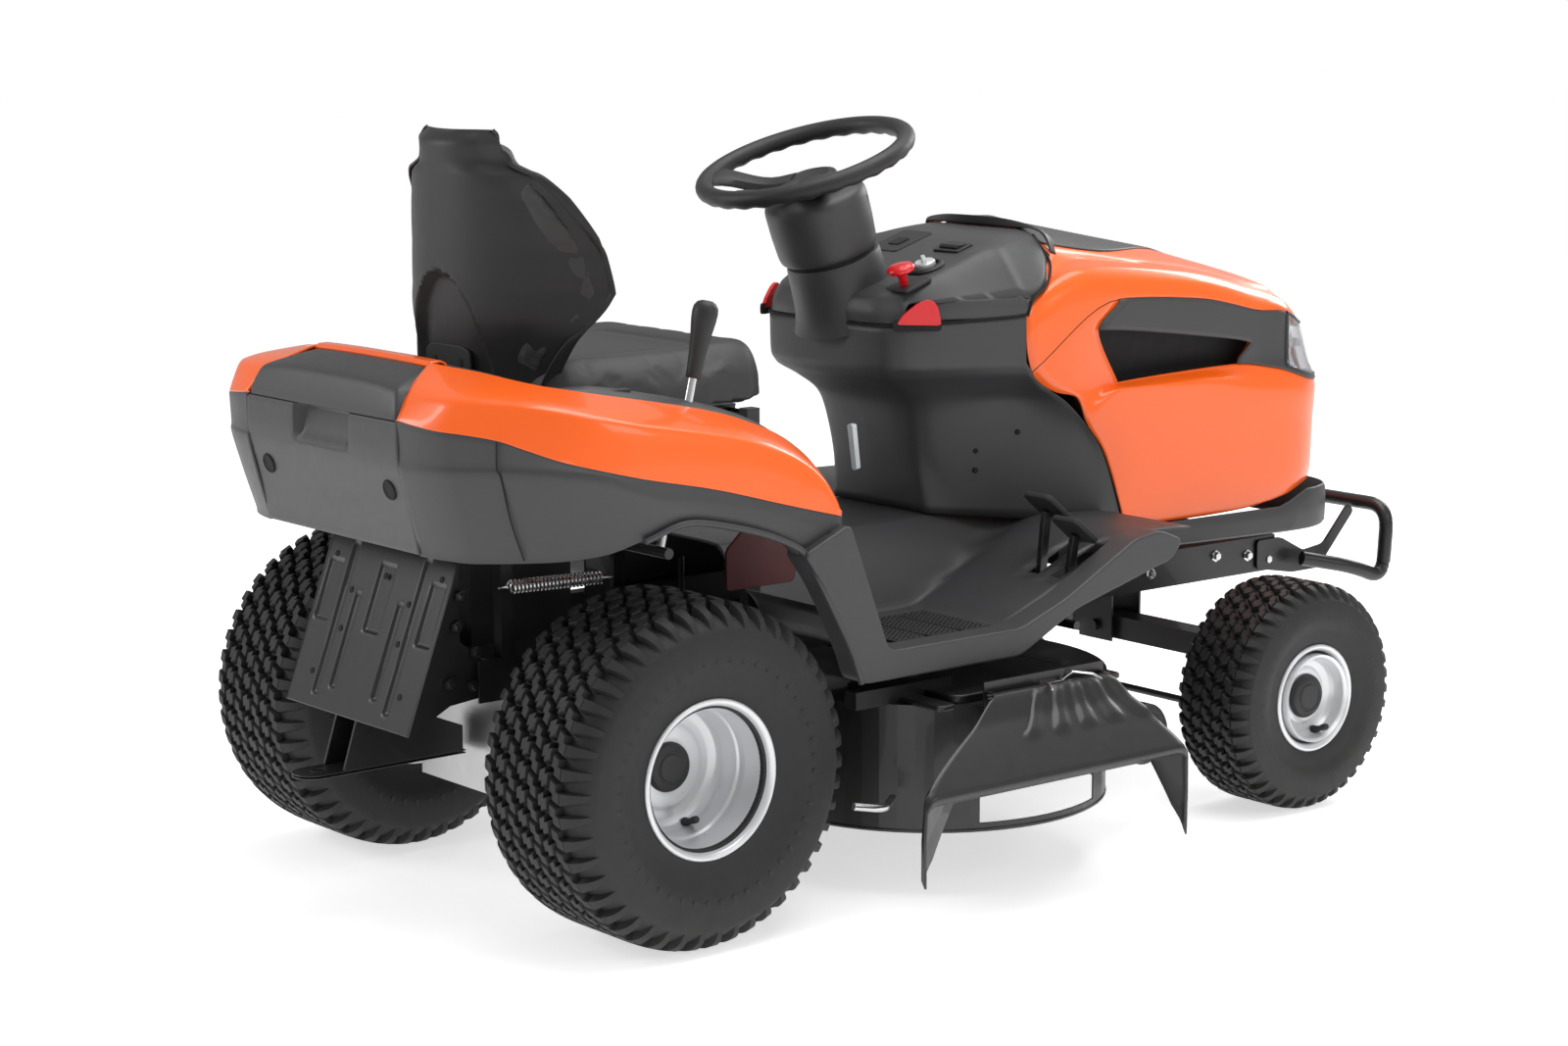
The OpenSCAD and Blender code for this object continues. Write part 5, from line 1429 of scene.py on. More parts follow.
# --------------------------------------------------------------------------- console
@dataclass
class Console:
    """Console between the feet, dash above it, column shroud and the driver's controls."""

    lower: tuple = (
        ((728, 0, 512), (728, 60, 512), (729, 112, 512), (792, 144, 505), (870, 180, 497), (1018, 223, 481),
         (1060, 234, 478)),
        ((712, 0, 600), (713, 55, 600), (716, 98, 600), (738, 124, 600), (866, 184, 600), (1000, 226, 600),
         (1014, 232, 600)),
        ((694, 0, 690), (694, 58, 690), (697, 106, 690), (718, 136, 690), (862, 187, 690), (918, 228, 690),
         (928, 232, 690)),
        ((664, 0, 722), (665, 66, 722), (668, 118, 722), (694, 150, 722), (850, 206, 718), (876, 229, 714),
         (890, 233, 712)),
        ((630, 0, 746), (631, 74, 746), (636, 132, 746), (668, 166, 746), (834, 226, 744), (851, 232, 741),
         (861, 234, 740)),
        ((620, 0, 764), (621, 74, 764), (628, 134, 764), (656, 170, 764), (820, 228, 764), (836, 233, 764),
         (839, 234, 764)),
        ((619, 0, 826), (620, 72, 826), (626, 132, 826), (654, 172, 828), (818, 229, 834), (834, 233, 836),
         (838, 234, 836)))

    def build(self, shop: Shop) -> None:
        """Makes the pieces of the console.

        Args:
            shop: Where the pieces are made.
        """
        self.body(shop)
        self.dash(shop)
        self.shroud(shop)
        self.knobs(shop)
        self.latches(shop)

    def body(self, shop: Shop) -> None:
        """The lower console: a waisted shell under an overhanging brow, open behind.

        Args:
            shop: Where the piece is made.
        """
        rows = np.array(self.lower, float)
        rows[..., 0] -= 14 * step_in(-rows[..., 0], -720, -640)
        p = net(rows, 6, 6) * RIGHT
        shell = Shape().sheet(p, None, (900, 0, 640)).both_sides()
        shop.make("console_lower_dressed", shell, MOULDING, "chassis", ["console_lower"], thick=3.0, sharp=40,
                  turn_out=False)
        slit = Shape().slab(rounded([(88, 604), (99, 604), (105, 680), (92, 680)], 4), (709.0, 0, 0),
                            (0, -1, 0), (-0.19, 0, 1.0), -9)
        shop.make("console_sight_strip", slit, TANK, "chassis")
        line = curve(rows[-1], 8) * RIGHT + np.array([-0.6, -0.4, 1.2])
        groove = Shape().tube(line, 1.5, 8, up=(0.02, 0.03, 1)).both_sides()
        shop.make("console_joint", groove, SOCKET_BLACK, "chassis")
        bolts = Shape()
        for x, y, z in ((800, 158, 612), (800, 158, 580), (866, 187, 640)):
            bolts.turned([(0, 2), (3.4, 2), (4.4, 0.6), (4.4, -2)], (x, -y, z), (-0.4, -0.91, 0), 18)
        bolts.both_sides()
        shop.make("console_bolts", bolts, SOCKET_BLACK, "chassis")

    def dash(self, shop: Shop) -> None:
        """The dash: a sloping top with soft ridges, shoulders that fall to the joint, and a caved front.

        Args:
            shop: Where the piece is made.
        """
        rows = np.array([
            [(620, 0, 829), (620, 72, 829), (627, 132, 829), (655, 172, 831), (655, 173, 831)],
            [(617, 0, 846), (617, 70, 846), (624, 124, 846), (650, 160, 850), (652, 166, 848)],
            [(622, 0, 866), (622, 66, 866), (630, 116, 868), (655, 150, 872), (662, 165, 862)],
            [(640, 0, 880), (640, 66, 880), (648, 116, 881), (672, 152, 886), (684, 182, 862)],
            [(700, 0, 899), (700, 66, 899), (704, 122, 900), (712, 158, 904), (726, 206, 866)],
            [(760, 0, 918), (760, 66, 918), (762, 124, 919), (768, 158, 922), (778, 219, 866)],
            [(820, 0, 937), (820, 66, 937), (820, 124, 938), (822, 158, 940), (826, 229, 868)],
            [(862, 0, 950), (862, 66, 950), (862, 118, 950), (864, 150, 944), (852, 232, 862)],
            [(905, 0, 958), (905, 66, 958), (905, 110, 957), (906, 142, 948), (897, 214, 880)],
            [(940, 0, 961), (940, 66, 961), (941, 106, 960), (943, 134, 954), (946, 166, 920)]], float)
        rows[..., 0] -= 14 * step_in(-rows[..., 0], -720, -640)
        p = net(rows, 5, 6) * RIGHT
        shell = Shape().sheet(p, None, (800, 0, 780))
        low = np.array([(655, 173, 831), (690, 186, 832), (740, 208, 834), (790, 222, 835), (822, 230, 836),
                        (838, 234, 837)], float)
        mid = np.array([(662, 165, 862), (684, 182, 862), (726, 206, 866), (778, 219, 866), (826, 229, 868),
                        (839, 233, 862)], float)
        side = np.stack([low, low * 0.5 + mid * 0.5 + (0, 1.5, 0), mid])
        q = net(side, 4, 5) * RIGHT
        shell.sheet(q, None, (800, 0, 780))
        end = np.stack([np.array([(838, 234, 837), (839, 234, 850), (839, 233, 862)], float),
                        np.array([(842, 234, 836), (846, 233, 852), (852, 232, 862)], float)])
        shell.sheet(end * RIGHT, None, (800, 0, 780))
        shell.both_sides()
        shop.make("dash_dressed", shell, MOULDING, "chassis", ["console_upper"], thick=3.0, sharp=32,
                  turn_out=False)
        hem = np.array([(838, 235, 836), (852, 233, 862), (897, 215, 880), (946, 167, 920),
                        (942, 135, 955)], float)
        edge = Shape().tube(curve(hem, 6) * RIGHT + np.array([2, 0, -1.0]), 2.2, 8).both_sides()
        shop.make("dash_rear_hem", edge, SOCKET_BLACK, "chassis")

    def on_top(self, x: float, y: float, lift: float = 0.0) -> tuple[float, float, float]:
        """A point on the dash at a place, lifted along its slope's normal."""
        slope, (x0, z0) = 0.316, (700, 899)
        return (x - 0.3 * lift, y, z0 + (x - x0) * slope + 0.95 * lift)

    def shroud(self, shop: Shop) -> None:
        """The column shroud: a cup under the wheel, a dark groove, and a collar that flares into the dash.

        Args:
            shop: Where the pieces are made.
        """
        axis = np.array([-0.3206, 0, 0.9472])
        base = np.array([572.0, 0, 1081]) - axis * 255
        cup = [(40, 208), (62, 206), (76, 202), (82, 196), (84, 188), (83.5, 150), (81, 112), (79, 104),
               (77, 101), (72, 100), (60, 100), (58, 120), (58, 190), (40, 190)]
        shop.make("column_shroud_dressed", Shape().turned(smooth_path(cup, 4, 3), base, axis, 72), MOULDING,
                  "chassis", ["column_shroud"], sharp=35)
        collar = [(66, 96), (73, 96), (76, 94), (77.5, 88), (79, 60), (80.5, 36), (83, 14), (87, -2),
                  (92, -14)]
        shop.make("column_collar", Shape().turned(collar, base + np.array([6, 0, 0]), axis, 72), MOULDING,
                  "chassis", thick=0.0, sharp=40)
        groove = [(60, 104), (71, 103), (71, 94), (60, 94)]
        shop.make("column_groove", Shape().turned(groove, base, axis, 60, loop=True), SOCKET_BLACK, "chassis")
        notch = Shape()
        u, v = np.array([0.25, -0.96, 0.0]), axis
        notch.slab([(-13, 0), (13, 0), (4, -34), (-4, -34)],
                   base + axis * 196 + np.array([82 * 0.55, -82 * 0.83, 0]), np.cross(v, u), v, -6)
        shop.make("shroud_notch", notch, SOCKET_BLACK, "chassis")

    def knobs(self, shop: Shop) -> None:
        """The red mushroom switch, the key knob with its bezel, the rocker and the recessed panel.

        Args:
            shop: Where the pieces are made.
        """
        up = np.array([-0.301, 0, 0.953])
        at, _, top = Shop.packed("pto_knob")
        plate = Shape().slab(rounded([(-30, -27), (30, -27), (30, 27), (-30, 27)], 9),
                             self.on_top(668, -142, -2), (1, 0, 0.316), (0, 1, 0), 6)
        shop.make("switch_plate", plate, SOFT_BLACK, "chassis", bevel=2)
        head = np.array([at.x - 4, at.y, top]) - up * 15
        cap = [(7, -26), (7, -8), (10, -4), (21, 0), (23, 3.5), (22.5, 7), (19, 10.5), (11, 13), (0, 13.8)]
        red = Shape().turned(cap, head, up, 56)
        shop.make("pto_knob_dressed", red, RED, "pto_knob", ["pto_knob"], sharp=45)
        at, _, _ = Shop.packed("ignition_knob")
        spot = np.array(self.on_top(at.x, at.y))
        bezel = Shape().turned([(0, 0), (31, 0), (31, 4), (28, 7), (24, 7.6), (22, 2), (0, 2)], spot, up, 56)
        shop.make("key_bezel", bezel, SOFT_BLACK, "chassis", sharp=35)
        knob = Shape().turned([(0, 5.5), (17.5, 5.5), (17.5, 11), (15.5, 13.5), (0, 14)], spot, up, 48)
        knob.slab([(-15, -3.2), (15, -3.2), (15, 3.2), (-15, 3.2)], spot + up * 13, (0.55, 0.83, 0.17),
                  (-0.81, 0.55, -0.2), 6.5)
        shop.make("ignition_knob_dressed", knob, RIM, "ignition_knob", ["ignition_knob"], sharp=35)
        at, _, _ = Shop.packed("light_switch")
        spot = np.array(self.on_top(at.x, at.y))
        frame_plate = Shape().slab(rounded([(-19, -30), (19, -30), (19, 30), (-19, 30)], 5), spot - up * 1,
                                   (0.953, 0, 0.301), (0, 1, 0), 5)
        shop.make("rocker_frame", frame_plate, SOFT_BLACK, "chassis", bevel=1.5)
        rocker = np.array([(-11, 0), (-11, 5), (-6, 8), (0, 5.5), (6, 4.5), (11, 4), (11, 0)], float)
        body = Shape().slab(rocker, spot + up * 2 + np.array([0, 21, 0]), (0.953, 0, 0.301),
                            (-0.301, 0, 0.953), 42)
        shop.make("light_switch_dressed", body, SOFT_BLACK, "light_switch", ["light_switch"], bevel=1)
        panel = Shape().slab(rounded([(-48, -36), (40, -36), (40, 36), (-48, 36)], 8),
                             self.on_top(826, 55, -1), (0.953, 0, 0.301), (0, 1, 0), 3)
        shop.make("dash_panel", panel, SOFT_BLACK, "chassis", bevel=1)
        socket = Shape().slab(rounded([(-15, -13), (13, -13), (13, 13), (-15, 13)], 4),
                              self.on_top(818, 52, 2), (0.953, 0, 0.301), (0, 1, 0), 1.6)
        shop.make("dash_socket", socket, SOCKET_BLACK, "chassis")

    def latches(self, shop: Shop) -> None:
        """The two red catches, each in a dark pocket.

        Args:
            shop: Where the pieces are made.
        """
        turn = math.radians(26.6)
        u = (math.cos(turn), -math.sin(turn), 0)
        outline = [(-34, -14), (38, -17), (40, -12), (35, 12), (28, 22), (18, 25), (2, 19), (-20, 3)]
        for side in ("right", "left"):
            catch = Shape().slab(rounded(outline, 7), (650, -180, 845), u, (0, 0, 1), 6)
            catch.flipped(side == "left")
            shop.make(f"latch_{side}_dressed", catch, RED, f"latch_{side}", [f"latch_{side}"], bevel=2.5)
            pocket = Shape().slab(rounded([(-36, -24), (42, -26), (44, -8), (-36, -6)], 6),
                                  (648, -179, 845), u, (0, 0, 1), 5)
            pocket.flipped(side == "left")
            shop.make(f"latch_pocket_{side}", pocket, SOCKET_BLACK, "chassis")


@dataclass
class SteeringWheel:
    """Soft-rimmed wheel with three spokes, a plain hub and finger waves under the rim."""

    centre: tuple[float, float, float] = (572.0, 0.0, 1081.0)
    radius: float = 166.0
    tube: float = 14.6

    def build(self, shop: Shop) -> None:
        """Makes the rim, the spokes and the hub.

        Args:
            shop: Where the pieces are made.
        """
        axis = unit(np.array([-0.3206, 0, 0.9472]))
        ahead = unit(np.array([0.9472, 0, 0.3206]))
        side = np.cross(axis, ahead)
        c = np.array(self.centre)
        turn = np.linspace(0, 2 * np.pi, 192, endpoint=False)
        spoke = np.cos(turn)[:, None] * ahead + np.sin(turn)[:, None] * side
        around = np.linspace(0, 2 * np.pi, 20, endpoint=False)
        grip = 1.3 * np.cos(turn * 28)[:, None] * np.clip(-np.sin(around), 0, 1)[None] ** 2
        r = self.tube + grip - 0.7 * np.clip(-np.sin(around), 0, 1)[None]
        rings = (c + spoke[:, None] * (self.radius + r * np.cos(around)[None])[..., None]
                 + axis * (r * np.sin(around)[None])[..., None])
        shape = Shape().add(rings, grid_faces(192, 20, wrap_u=True, wrap_v=True))
        for angle, wide in ((2.16, 38.0), (-2.16, 38.0), (np.pi, 22.0)):
            u = math.cos(angle) * ahead + math.sin(angle) * side
            v = np.cross(axis, u)
            steps = np.linspace(0, 1, 11)
            rad = 26 + (self.radius - 26) * steps
            depth = -31 * (1 - step_in(steps, 0.2, 0.95))
            w = wide * (1 - 0.35 * np.sin(steps * np.pi)) * (0.75 + 0.25 * steps)
            thick = 7.0 + 5 * (1 - steps)
            ring = np.array([(-1, 0), (-0.8, 0.8), (-0.4, 1), (0.4, 1), (0.8, 0.8), (1, 0),
                             (0.8, -0.8), (0.4, -1), (-0.4, -1), (-0.8, -0.8)])
            pts = (c + u * rad[:, None, None] + v * (ring[None, :, :1] * w[:, None, None])
                   + axis * (depth[:, None, None] + ring[None, :, 1:] * thick[:, None, None]))
            shape.loft(pts)
        hub = [(0, -60), (34, -60), (44, -52), (48, -42), (48, -32), (44, -25), (34, -22), (31, -23.5),
               (0, -22.5)]
        shape.turned(hub, c, axis, 56)
        shop.make("steering_wheel_dressed", shape, SOFT_BLACK, "steering", ["steering_wheel"], sharp=40)


# --------------------------------------------------------------------------- footrest
@dataclass
class Footrest:
    """Step-through floor: pillars and sills, a raised tunnel, ribbed mats, pedals and the lift lever."""

    sill: tuple = ((176, 556), (211, 509), (241, 456), (271, 396), (288, 350), (604, 350), (724, 409),
                   (932, 463), (956, 492), (905, 512), (850, 505), (700, 428), (606, 394), (340, 394), (264, 593))

    def build(self, shop: Shop) -> None:
        """Makes the pieces of the footrest.

        Args:
            shop: Where the pieces are made.
        """
        self.sides(shop)
        self.floor(shop)
        self.mats(shop)
        self.pedals(shop)
        self.lever(shop)

    def sides(self, shop: Shop) -> None:
        """The two sills with their pillars: one thick outline each, its edges well rounded.

        Args:
            shop: Where the piece is made.
        """
        outline = rounded(self.sill, 14, 4)
        sides = Shape().slab(outline, (0, -428, 0), (1, 0, 0), (0, 0, 1), 50)
        sides.both_sides()
        shop.make("footrest_sills", sides, MOULDING, "chassis", ["footrest"], bevel=5, bevel_steps=4)

    def floor(self, shop: Shop) -> None:
        """The floor pan with a ramp in front, rising over the tunnel in the middle.

        Args:
            shop: Where the piece is made.
        """
        x = np.array([300, 330, 420, 520, 610, 660, 716, 800, 905, 940, 1020.0])
        z = np.array([450, 392, 386, 386, 387, 404, 426, 462, 500, 502, 500.0])
        y = np.array([0, 60, 112, 124, 170, 196, 212, 240, 330, 430.0])
        crown = np.array([511, 511, 509, 502, 456, 424, 0, 0, 0, 0.0])
        grid = np.zeros((len(x), len(y), 3))
        grid[..., 0], grid[..., 1] = x[:, None], y[None]
        base = np.repeat(z[:, None], len(y), 1)
        high = np.repeat(crown[None], len(x), 0)
        grid[..., 2] = np.maximum(base, np.where(high > 0, high, base))
        grid[:, 5, 2] = np.maximum(base[:, 5], 418)
        p = net(grid, 4, 4) * RIGHT
        slots = np.ones((p.shape[0] - 1, p.shape[1] - 1), bool)
        mid = (p[:-1, :-1] + p[1:, 1:]) / 2
        for yy in (332, 396):
            slots &= ~((np.abs(mid[..., 1] + yy) < 12) & (mid[..., 0] > 745) & (mid[..., 0] < 860))
        pan = Shape().sheet(p, slots, (600, 0, 200)).both_sides()
        shop.make("footrest_floor", pan, MOULDING, "chassis", thick=3.0, sharp=35, turn_out=False)

    def mats(self, shop: Shop) -> None:
        """The mats: three panels of short slanting ribs on a thin sheet each side.

        Args:
            shop: Where the piece is made.
        """
        mats = Shape()
        for x0, x1 in ((404, 466), (472, 534), (540, 600)):
            mats.slab(rounded([(x0, -416), (x1, -416), (x1, -262), (x0, -262)], 6, 3), (0, 0, 387), (1, 0, 0),
                      (0, 1, 0), 3.5)
            gx, gy = np.meshgrid(np.arange(x0 + 9, x1 - 5, 11.5), np.arange(-408, -268, 9.0), indexing="ij")
            gx, gy = gx.reshape(-1), gy.reshape(-1)
            rib = np.array([(-5, -2.4), (-3.5, -3.4), (5, 2.4), (3.5, 3.4)])
            base = np.stack([gx[:, None] + rib[None, :, 0], gy[:, None] + rib[None, :, 1],
                             np.full((len(gx), 4), 390.0)], -1)
            top = base + (0, 0, 3.0)
            pts = np.stack([base, top], 1)
            quad = grid_faces(2, 4, wrap_v=True)
            faces = (np.arange(len(gx))[:, None, None] * 8 + quad[None]).reshape(-1, 4).tolist()
            faces += (np.arange(len(gx))[:, None] * 8 + np.array([4, 5, 6, 7])[None]).tolist()
            mats.add(pts, faces)
        mats.both_sides()
        shop.make("foot_mats_dressed", mats, MAT_RUBBER, "chassis", ["foot_mats"], sharp=30)

    def pedals(self, shop: Shop) -> None:
        """The pedals: flat arms with studded pads whose edges wrap round.

        Args:
            shop: Where the pieces are made.
        """
        for name, y, top in (("forward", -332, 545), ("reverse", -396, 515), ("brake", 340, 560)):
            arm = Shape()
            line = np.array([(780, y, 372), (780, y, 388), (784, y, 440), (792, y, top - 22),
                             (795, y, top - 8)], float)
            path = curve(line, 4)
            ring = np.array([(-8, -5), (8, -5), (8, 5), (-8, 5)])
            arm.loft(np.stack([path + np.array([a, b, 0]) for a, b in ring], 1))
            shop.make(f"pedal_arm_{name}", arm, BLACK, f"pedal_{name}", [f"pedal_{name}"], bevel=1.5)
            pad = Shape()
            u, v = np.array([0.766, 0, -0.643]), np.array([0, 1.0, 0])
            n = np.cross(u, v)
            c = np.array([794, y, top])
            pad.slab(rounded([(-31, -31), (31, -31), (31, 31), (-31, 31)], 12, 4), c - n * 5, u, v, 10)
            shop.make(f"pedal_pad_{name}", pad, MAT_RUBBER, f"pedal_{name}", bevel=3)
            studs = Shape()
            for i in range(4):
                for j in range(5):
                    at = c + n * 4.5 + u * (-20 + i * 13 + 3 * (j % 2) - 1.5) + v * (-23 + j * 11.5)
                    studs.turned([(0, 2.6), (2.2, 2.6), (3.0, 0)], at, n, 10)
            shop.make(f"pedal_studs_{name}", studs, MAT_RUBBER, f"pedal_{name}")

    def lever(self, shop: Shop) -> None:
        """The lift lever: a bright rod with a long soft grip that swells towards its top.

        Args:
            shop: Where the pieces are made.
        """
        foot, lean = np.array([20.0, -340, 560]), math.radians(14)
        way = np.array([math.sin(lean), 0, math.cos(lean)])
        rod = Shape().turned([(0, 8), (6.4, 8), (6.4, 275), (0, 275)], foot, way, 24)
        shop.make("lift_lever_rod", rod, STEEL, "lift_lever", ["lift_lever"], sharp=35)
        grip = [(0, 254), (9.5, 254), (10.5, 256), (11, 264), (12.5, 290), (15.5, 318), (18.3, 338),
                (19, 350), (18, 358), (14, 364), (8, 367), (0, 367.5)]
        shop.make("lift_lever_grip", Shape().turned(grip, foot, way, 40), SOFT_BLACK, "lift_lever", sharp=60)


# --------------------------------------------------------------------------- chassis and deck
@dataclass
class Underbody:
    """Rear plate, bumper, valance, springs and small hardware of the frame."""

    def build(self, shop: Shop) -> None:
        """Makes the pieces of the underbody.

        Args:
            shop: Where the pieces are made.
        """
        self.plate(shop)
        self.bumper(shop)
        self.valance(shop)
        self.spring(shop)
        self.fittings(shop)

    def plate(self, shop: Shop) -> None:
        """The rear plate: a leaning sheet with pressed grooves and panels, flanges, and the hitch below.

        Args:
            shop: Where the piece is made.
        """
        t, s = np.linspace(0, 1, 121), np.linspace(-1, 1, 141)
        tt, ss = np.meshgrid(t, s, indexing="ij")
        y = ss * 169 * (0.985 + 0.02 * tt)
        x = -304 + 91 * tt
        z = 304 + 243 * tt
        press = np.zeros_like(tt)
        for y0, y1, t0, t1 in ((-104, -90, 0.08, 0.98), (-64, -50, 0.14, 0.7), (50, 64, 0.14, 0.7),
                               (90, 104, 0.08, 0.98), (-20, 20, 0.5, 0.9), (120, 156, 0.5, 0.86),
                               (-156, -120, 0.5, 0.86)):
            along = step_in(tt, t0 - 0.015, t0 + 0.015) * step_in(-tt, -t1 - 0.015, -t1 + 0.015)
            across = step_in(y, y0 - 2.5, y0 + 2.5) * step_in(-y, -y1 - 2.5, -y1 + 2.5)
            press = np.maximum(press, along * across)
        nx, nz = -0.936, 0.351
        face = np.stack([x - nx * 4.0 * press, y, z - nz * 4.0 * press], -1)
        plate = Shape().sheet(face, None, (0, 0, 420))
        for side in (-1, 1):
            flange = [(-304, 304), (-232, 340), (-112, 352), (-112, 396), (-171, 396), (-213, 432),
                      (-213, 547)]
            plate.slab(flange, (0, side * 167.0, 0), (1, 0, 0), (0, 0, 1), 3)
        shop.make("rear_plate_dressed", plate, BLACK, "chassis", ["rear_plate"], thick=3.0, sharp=35,
                  turn_out=False)
        hitch = Shape()
        arc = np.linspace(np.pi / 2, 1.5 * np.pi, 20)
        outer = [(-362 + 30 * math.cos(a), 30 * math.sin(a)) for a in arc] + [(-112, -28), (-112, 28)]
        hitch.slab(outer, (0, 0, 226), (1, 0, 0), (0, 1, 0), 2.0)
        hitch.slab(outer, (0, 0, 230), (1, 0, 0), (0, 1, 0), 2.0)
        hitch.turned([(9.5, 226), (14, 226), (14, 232.4), (9.5, 232.4)], (-351, 0, 0), (0, 0, 1), 32,
                     loop=True)
        for side in (-1, 1):
            hitch.slab([(-326, 232), (-118, 232), (-118, 270), (-264, 330), (-292, 330), (-303, 304)],
                       (0, side * 27 + 2.5, 0), (1, 0, 0), (0, 0, 1), 5)
        shop.make("hitch_webs", hitch, BLACK, "chassis", bevel=0.8, bevel_steps=2)
        dots = Shape()
        for y0, z0 in ((-78, 420), (78, 420), (-78, 476), (78, 476), (0, 506), (-120, 352), (120, 352),
                       (-142, 520), (142, 520)):
            xx = -304 + (z0 - 304) * 91 / 243
            dots.turned([(0, 1.4), (4.4, 1.4), (5.2, 0)], (xx, y0, z0), (-0.936, 0, 0.351), 18)
        shop.make("rear_plate_holes", dots, SOCKET_BLACK, "chassis")
        studs = Shape()
        for x0, z0 in ((-236, 374), (-196, 366), (-190, 415), (-222, 456), (-214, 500)):
            studs.turned([(0, 9), (5, 8.6), (6, 6), (9, 5.4), (9, 0)], (x0, -174, z0), (0, -1, 0), 6)
        studs.both_sides()
        shop.make("rear_plate_bolts", studs, BLACK, "chassis", sharp=20)

    def bumper(self, shop: Shop) -> None:
        """The bumper: one bent tube over two bracket plates.

        Args:
            shop: Where the piece is made.
        """
        half = [(1697, 0, 440), (1697, 262, 440), (1688, 262, 310), (1622, 252, 338), (1530, 212, 358)]
        pts = np.array(half, float)
        full = np.concatenate([pts[::-1] * RIGHT, pts[1:]])
        path = smooth_path(full, 42, 8)
        keep = [path[0]]
        for q in path[1:]:
            if np.linalg.norm(q - keep[-1]) > 1.0:
                keep.append(q)
        bar = Shape().tube(np.array(keep), 12.6, 20, up=(0.31, 0.11, 0.94))
        plates = [(1440, 346), (1530, 330), (1600, 330), (1690, 424), (1676, 438), (1612, 372), (1560, 366),
                  (1500, 396), (1440, 396)]
        for side in (-1, 1):
            bar.slab(rounded(plates, 8, 3), (0, side * 187 + 2.5, 0), (1, 0, 0), (0, 0, 1), 5)
        shop.make("bumper_dressed", bar, BLACK, "chassis", ["bumper"], sharp=40)

    def valance(self, shop: Shop) -> None:
        """The dark skirt under the hood: a rounded plan with a turned top edge.

        Args:
            shop: Where the piece is made.
        """
        plan = np.array([(1078, 247), (1300, 249), (1490, 249), (1560, 232), (1596, 196), (1618, 110),
                         (1625, 0)], float)
        line = curve(plan, 8)
        full = np.stack([line[:, 0], line[:, 1], np.zeros(len(line))], -1)
        low = np.interp(full[:, 0], [1075, 1150, 1480, 1625], [455, 424, 416, 416])
        high = np.interp(full[:, 0], [1078, 1440, 1500, 1625], [468, 465, 490, 490])
        rows = []
        for k, inset in ((0.0, 18), (0.04, 4), (0.12, 0), (0.55, -1), (0.9, 0), (0.97, 2), (1.0, 3.5)):
            q = full.copy()
            scale = 1 - inset / 249
            q[:, 1] *= scale
            q[:, 0] = np.where(full[:, 0] > 1480, 1480 + (full[:, 0] - 1480) * (1 - inset / 145), full[:, 0])
            q[:, 2] = low + (high - low) * k
            rows.append(q)
        p = np.stack(rows) * RIGHT
        skin = Shape().sheet(p, None, (1300, 0, 450)).both_sides()
        shop.make("front_valance_dressed", skin, MOULDING, "chassis", ["front_valance"], thick=3.0, sharp=35,
                  turn_out=False)

    def spring(self, shop: Shop) -> None:
        """A bright extension spring under the wheel cover, with its end hooks, and the dark red bracket.

        Args:
            shop: Where the pieces are made.
        """
        a, b = np.array([-180.0, -222, 514]), np.array([20.0, -222, 508])
        turn = np.linspace(0, 24 * 2 * np.pi, 24 * 12)
        t = np.linspace(0.1, 0.9, len(turn))
        round_it = np.stack([np.zeros_like(turn), 9 * np.cos(turn), 9 * np.sin(turn)], -1)
        path = a + (b - a) * t[:, None] + round_it
        full = np.concatenate([[a], [a + (b - a) * 0.08], path, [a + (b - a) * 0.92], [b]])
        shop.make("return_spring", Shape().tube(full, 1.9, 6, up=(1.0, 0.02, 0.03)), STEEL, "chassis")
        corners = [(171, 478), (300, 478), (311, 520), (296, 566), (206, 570), (171, 540)]
        red = Shape().slab(rounded(corners, 8), (0, -298, 0), (1, 0, 0), (0, 0, 1), 5)
        shop.make("red_bracket", red, DARK_RED, "chassis", bevel=1.5)

    def fittings(self, shop: Shop) -> None:
        """Bolt heads along the frame rails and the front axle.

        Args:
            shop: Where the piece is made.
        """
        heads = Shape()
        for x, z in ((-120, 372), (-60, 380), (40, 372), (420, 372), (640, 360), (980, 372), (1100, 378),
                     (1180, 368), (1340, 380), (1420, 372), (1470, 360)):
            heads.turned([(0, 8), (6.5, 7.6), (7.5, 6), (7.5, 1.5), (10.5, 1.2), (10.5, -1)],
                         (x, -184.5, z), (0, -1, 0), 6)
        heads.both_sides()
        shop.make("frame_bolts", heads, STEEL, "chassis", sharp=20)


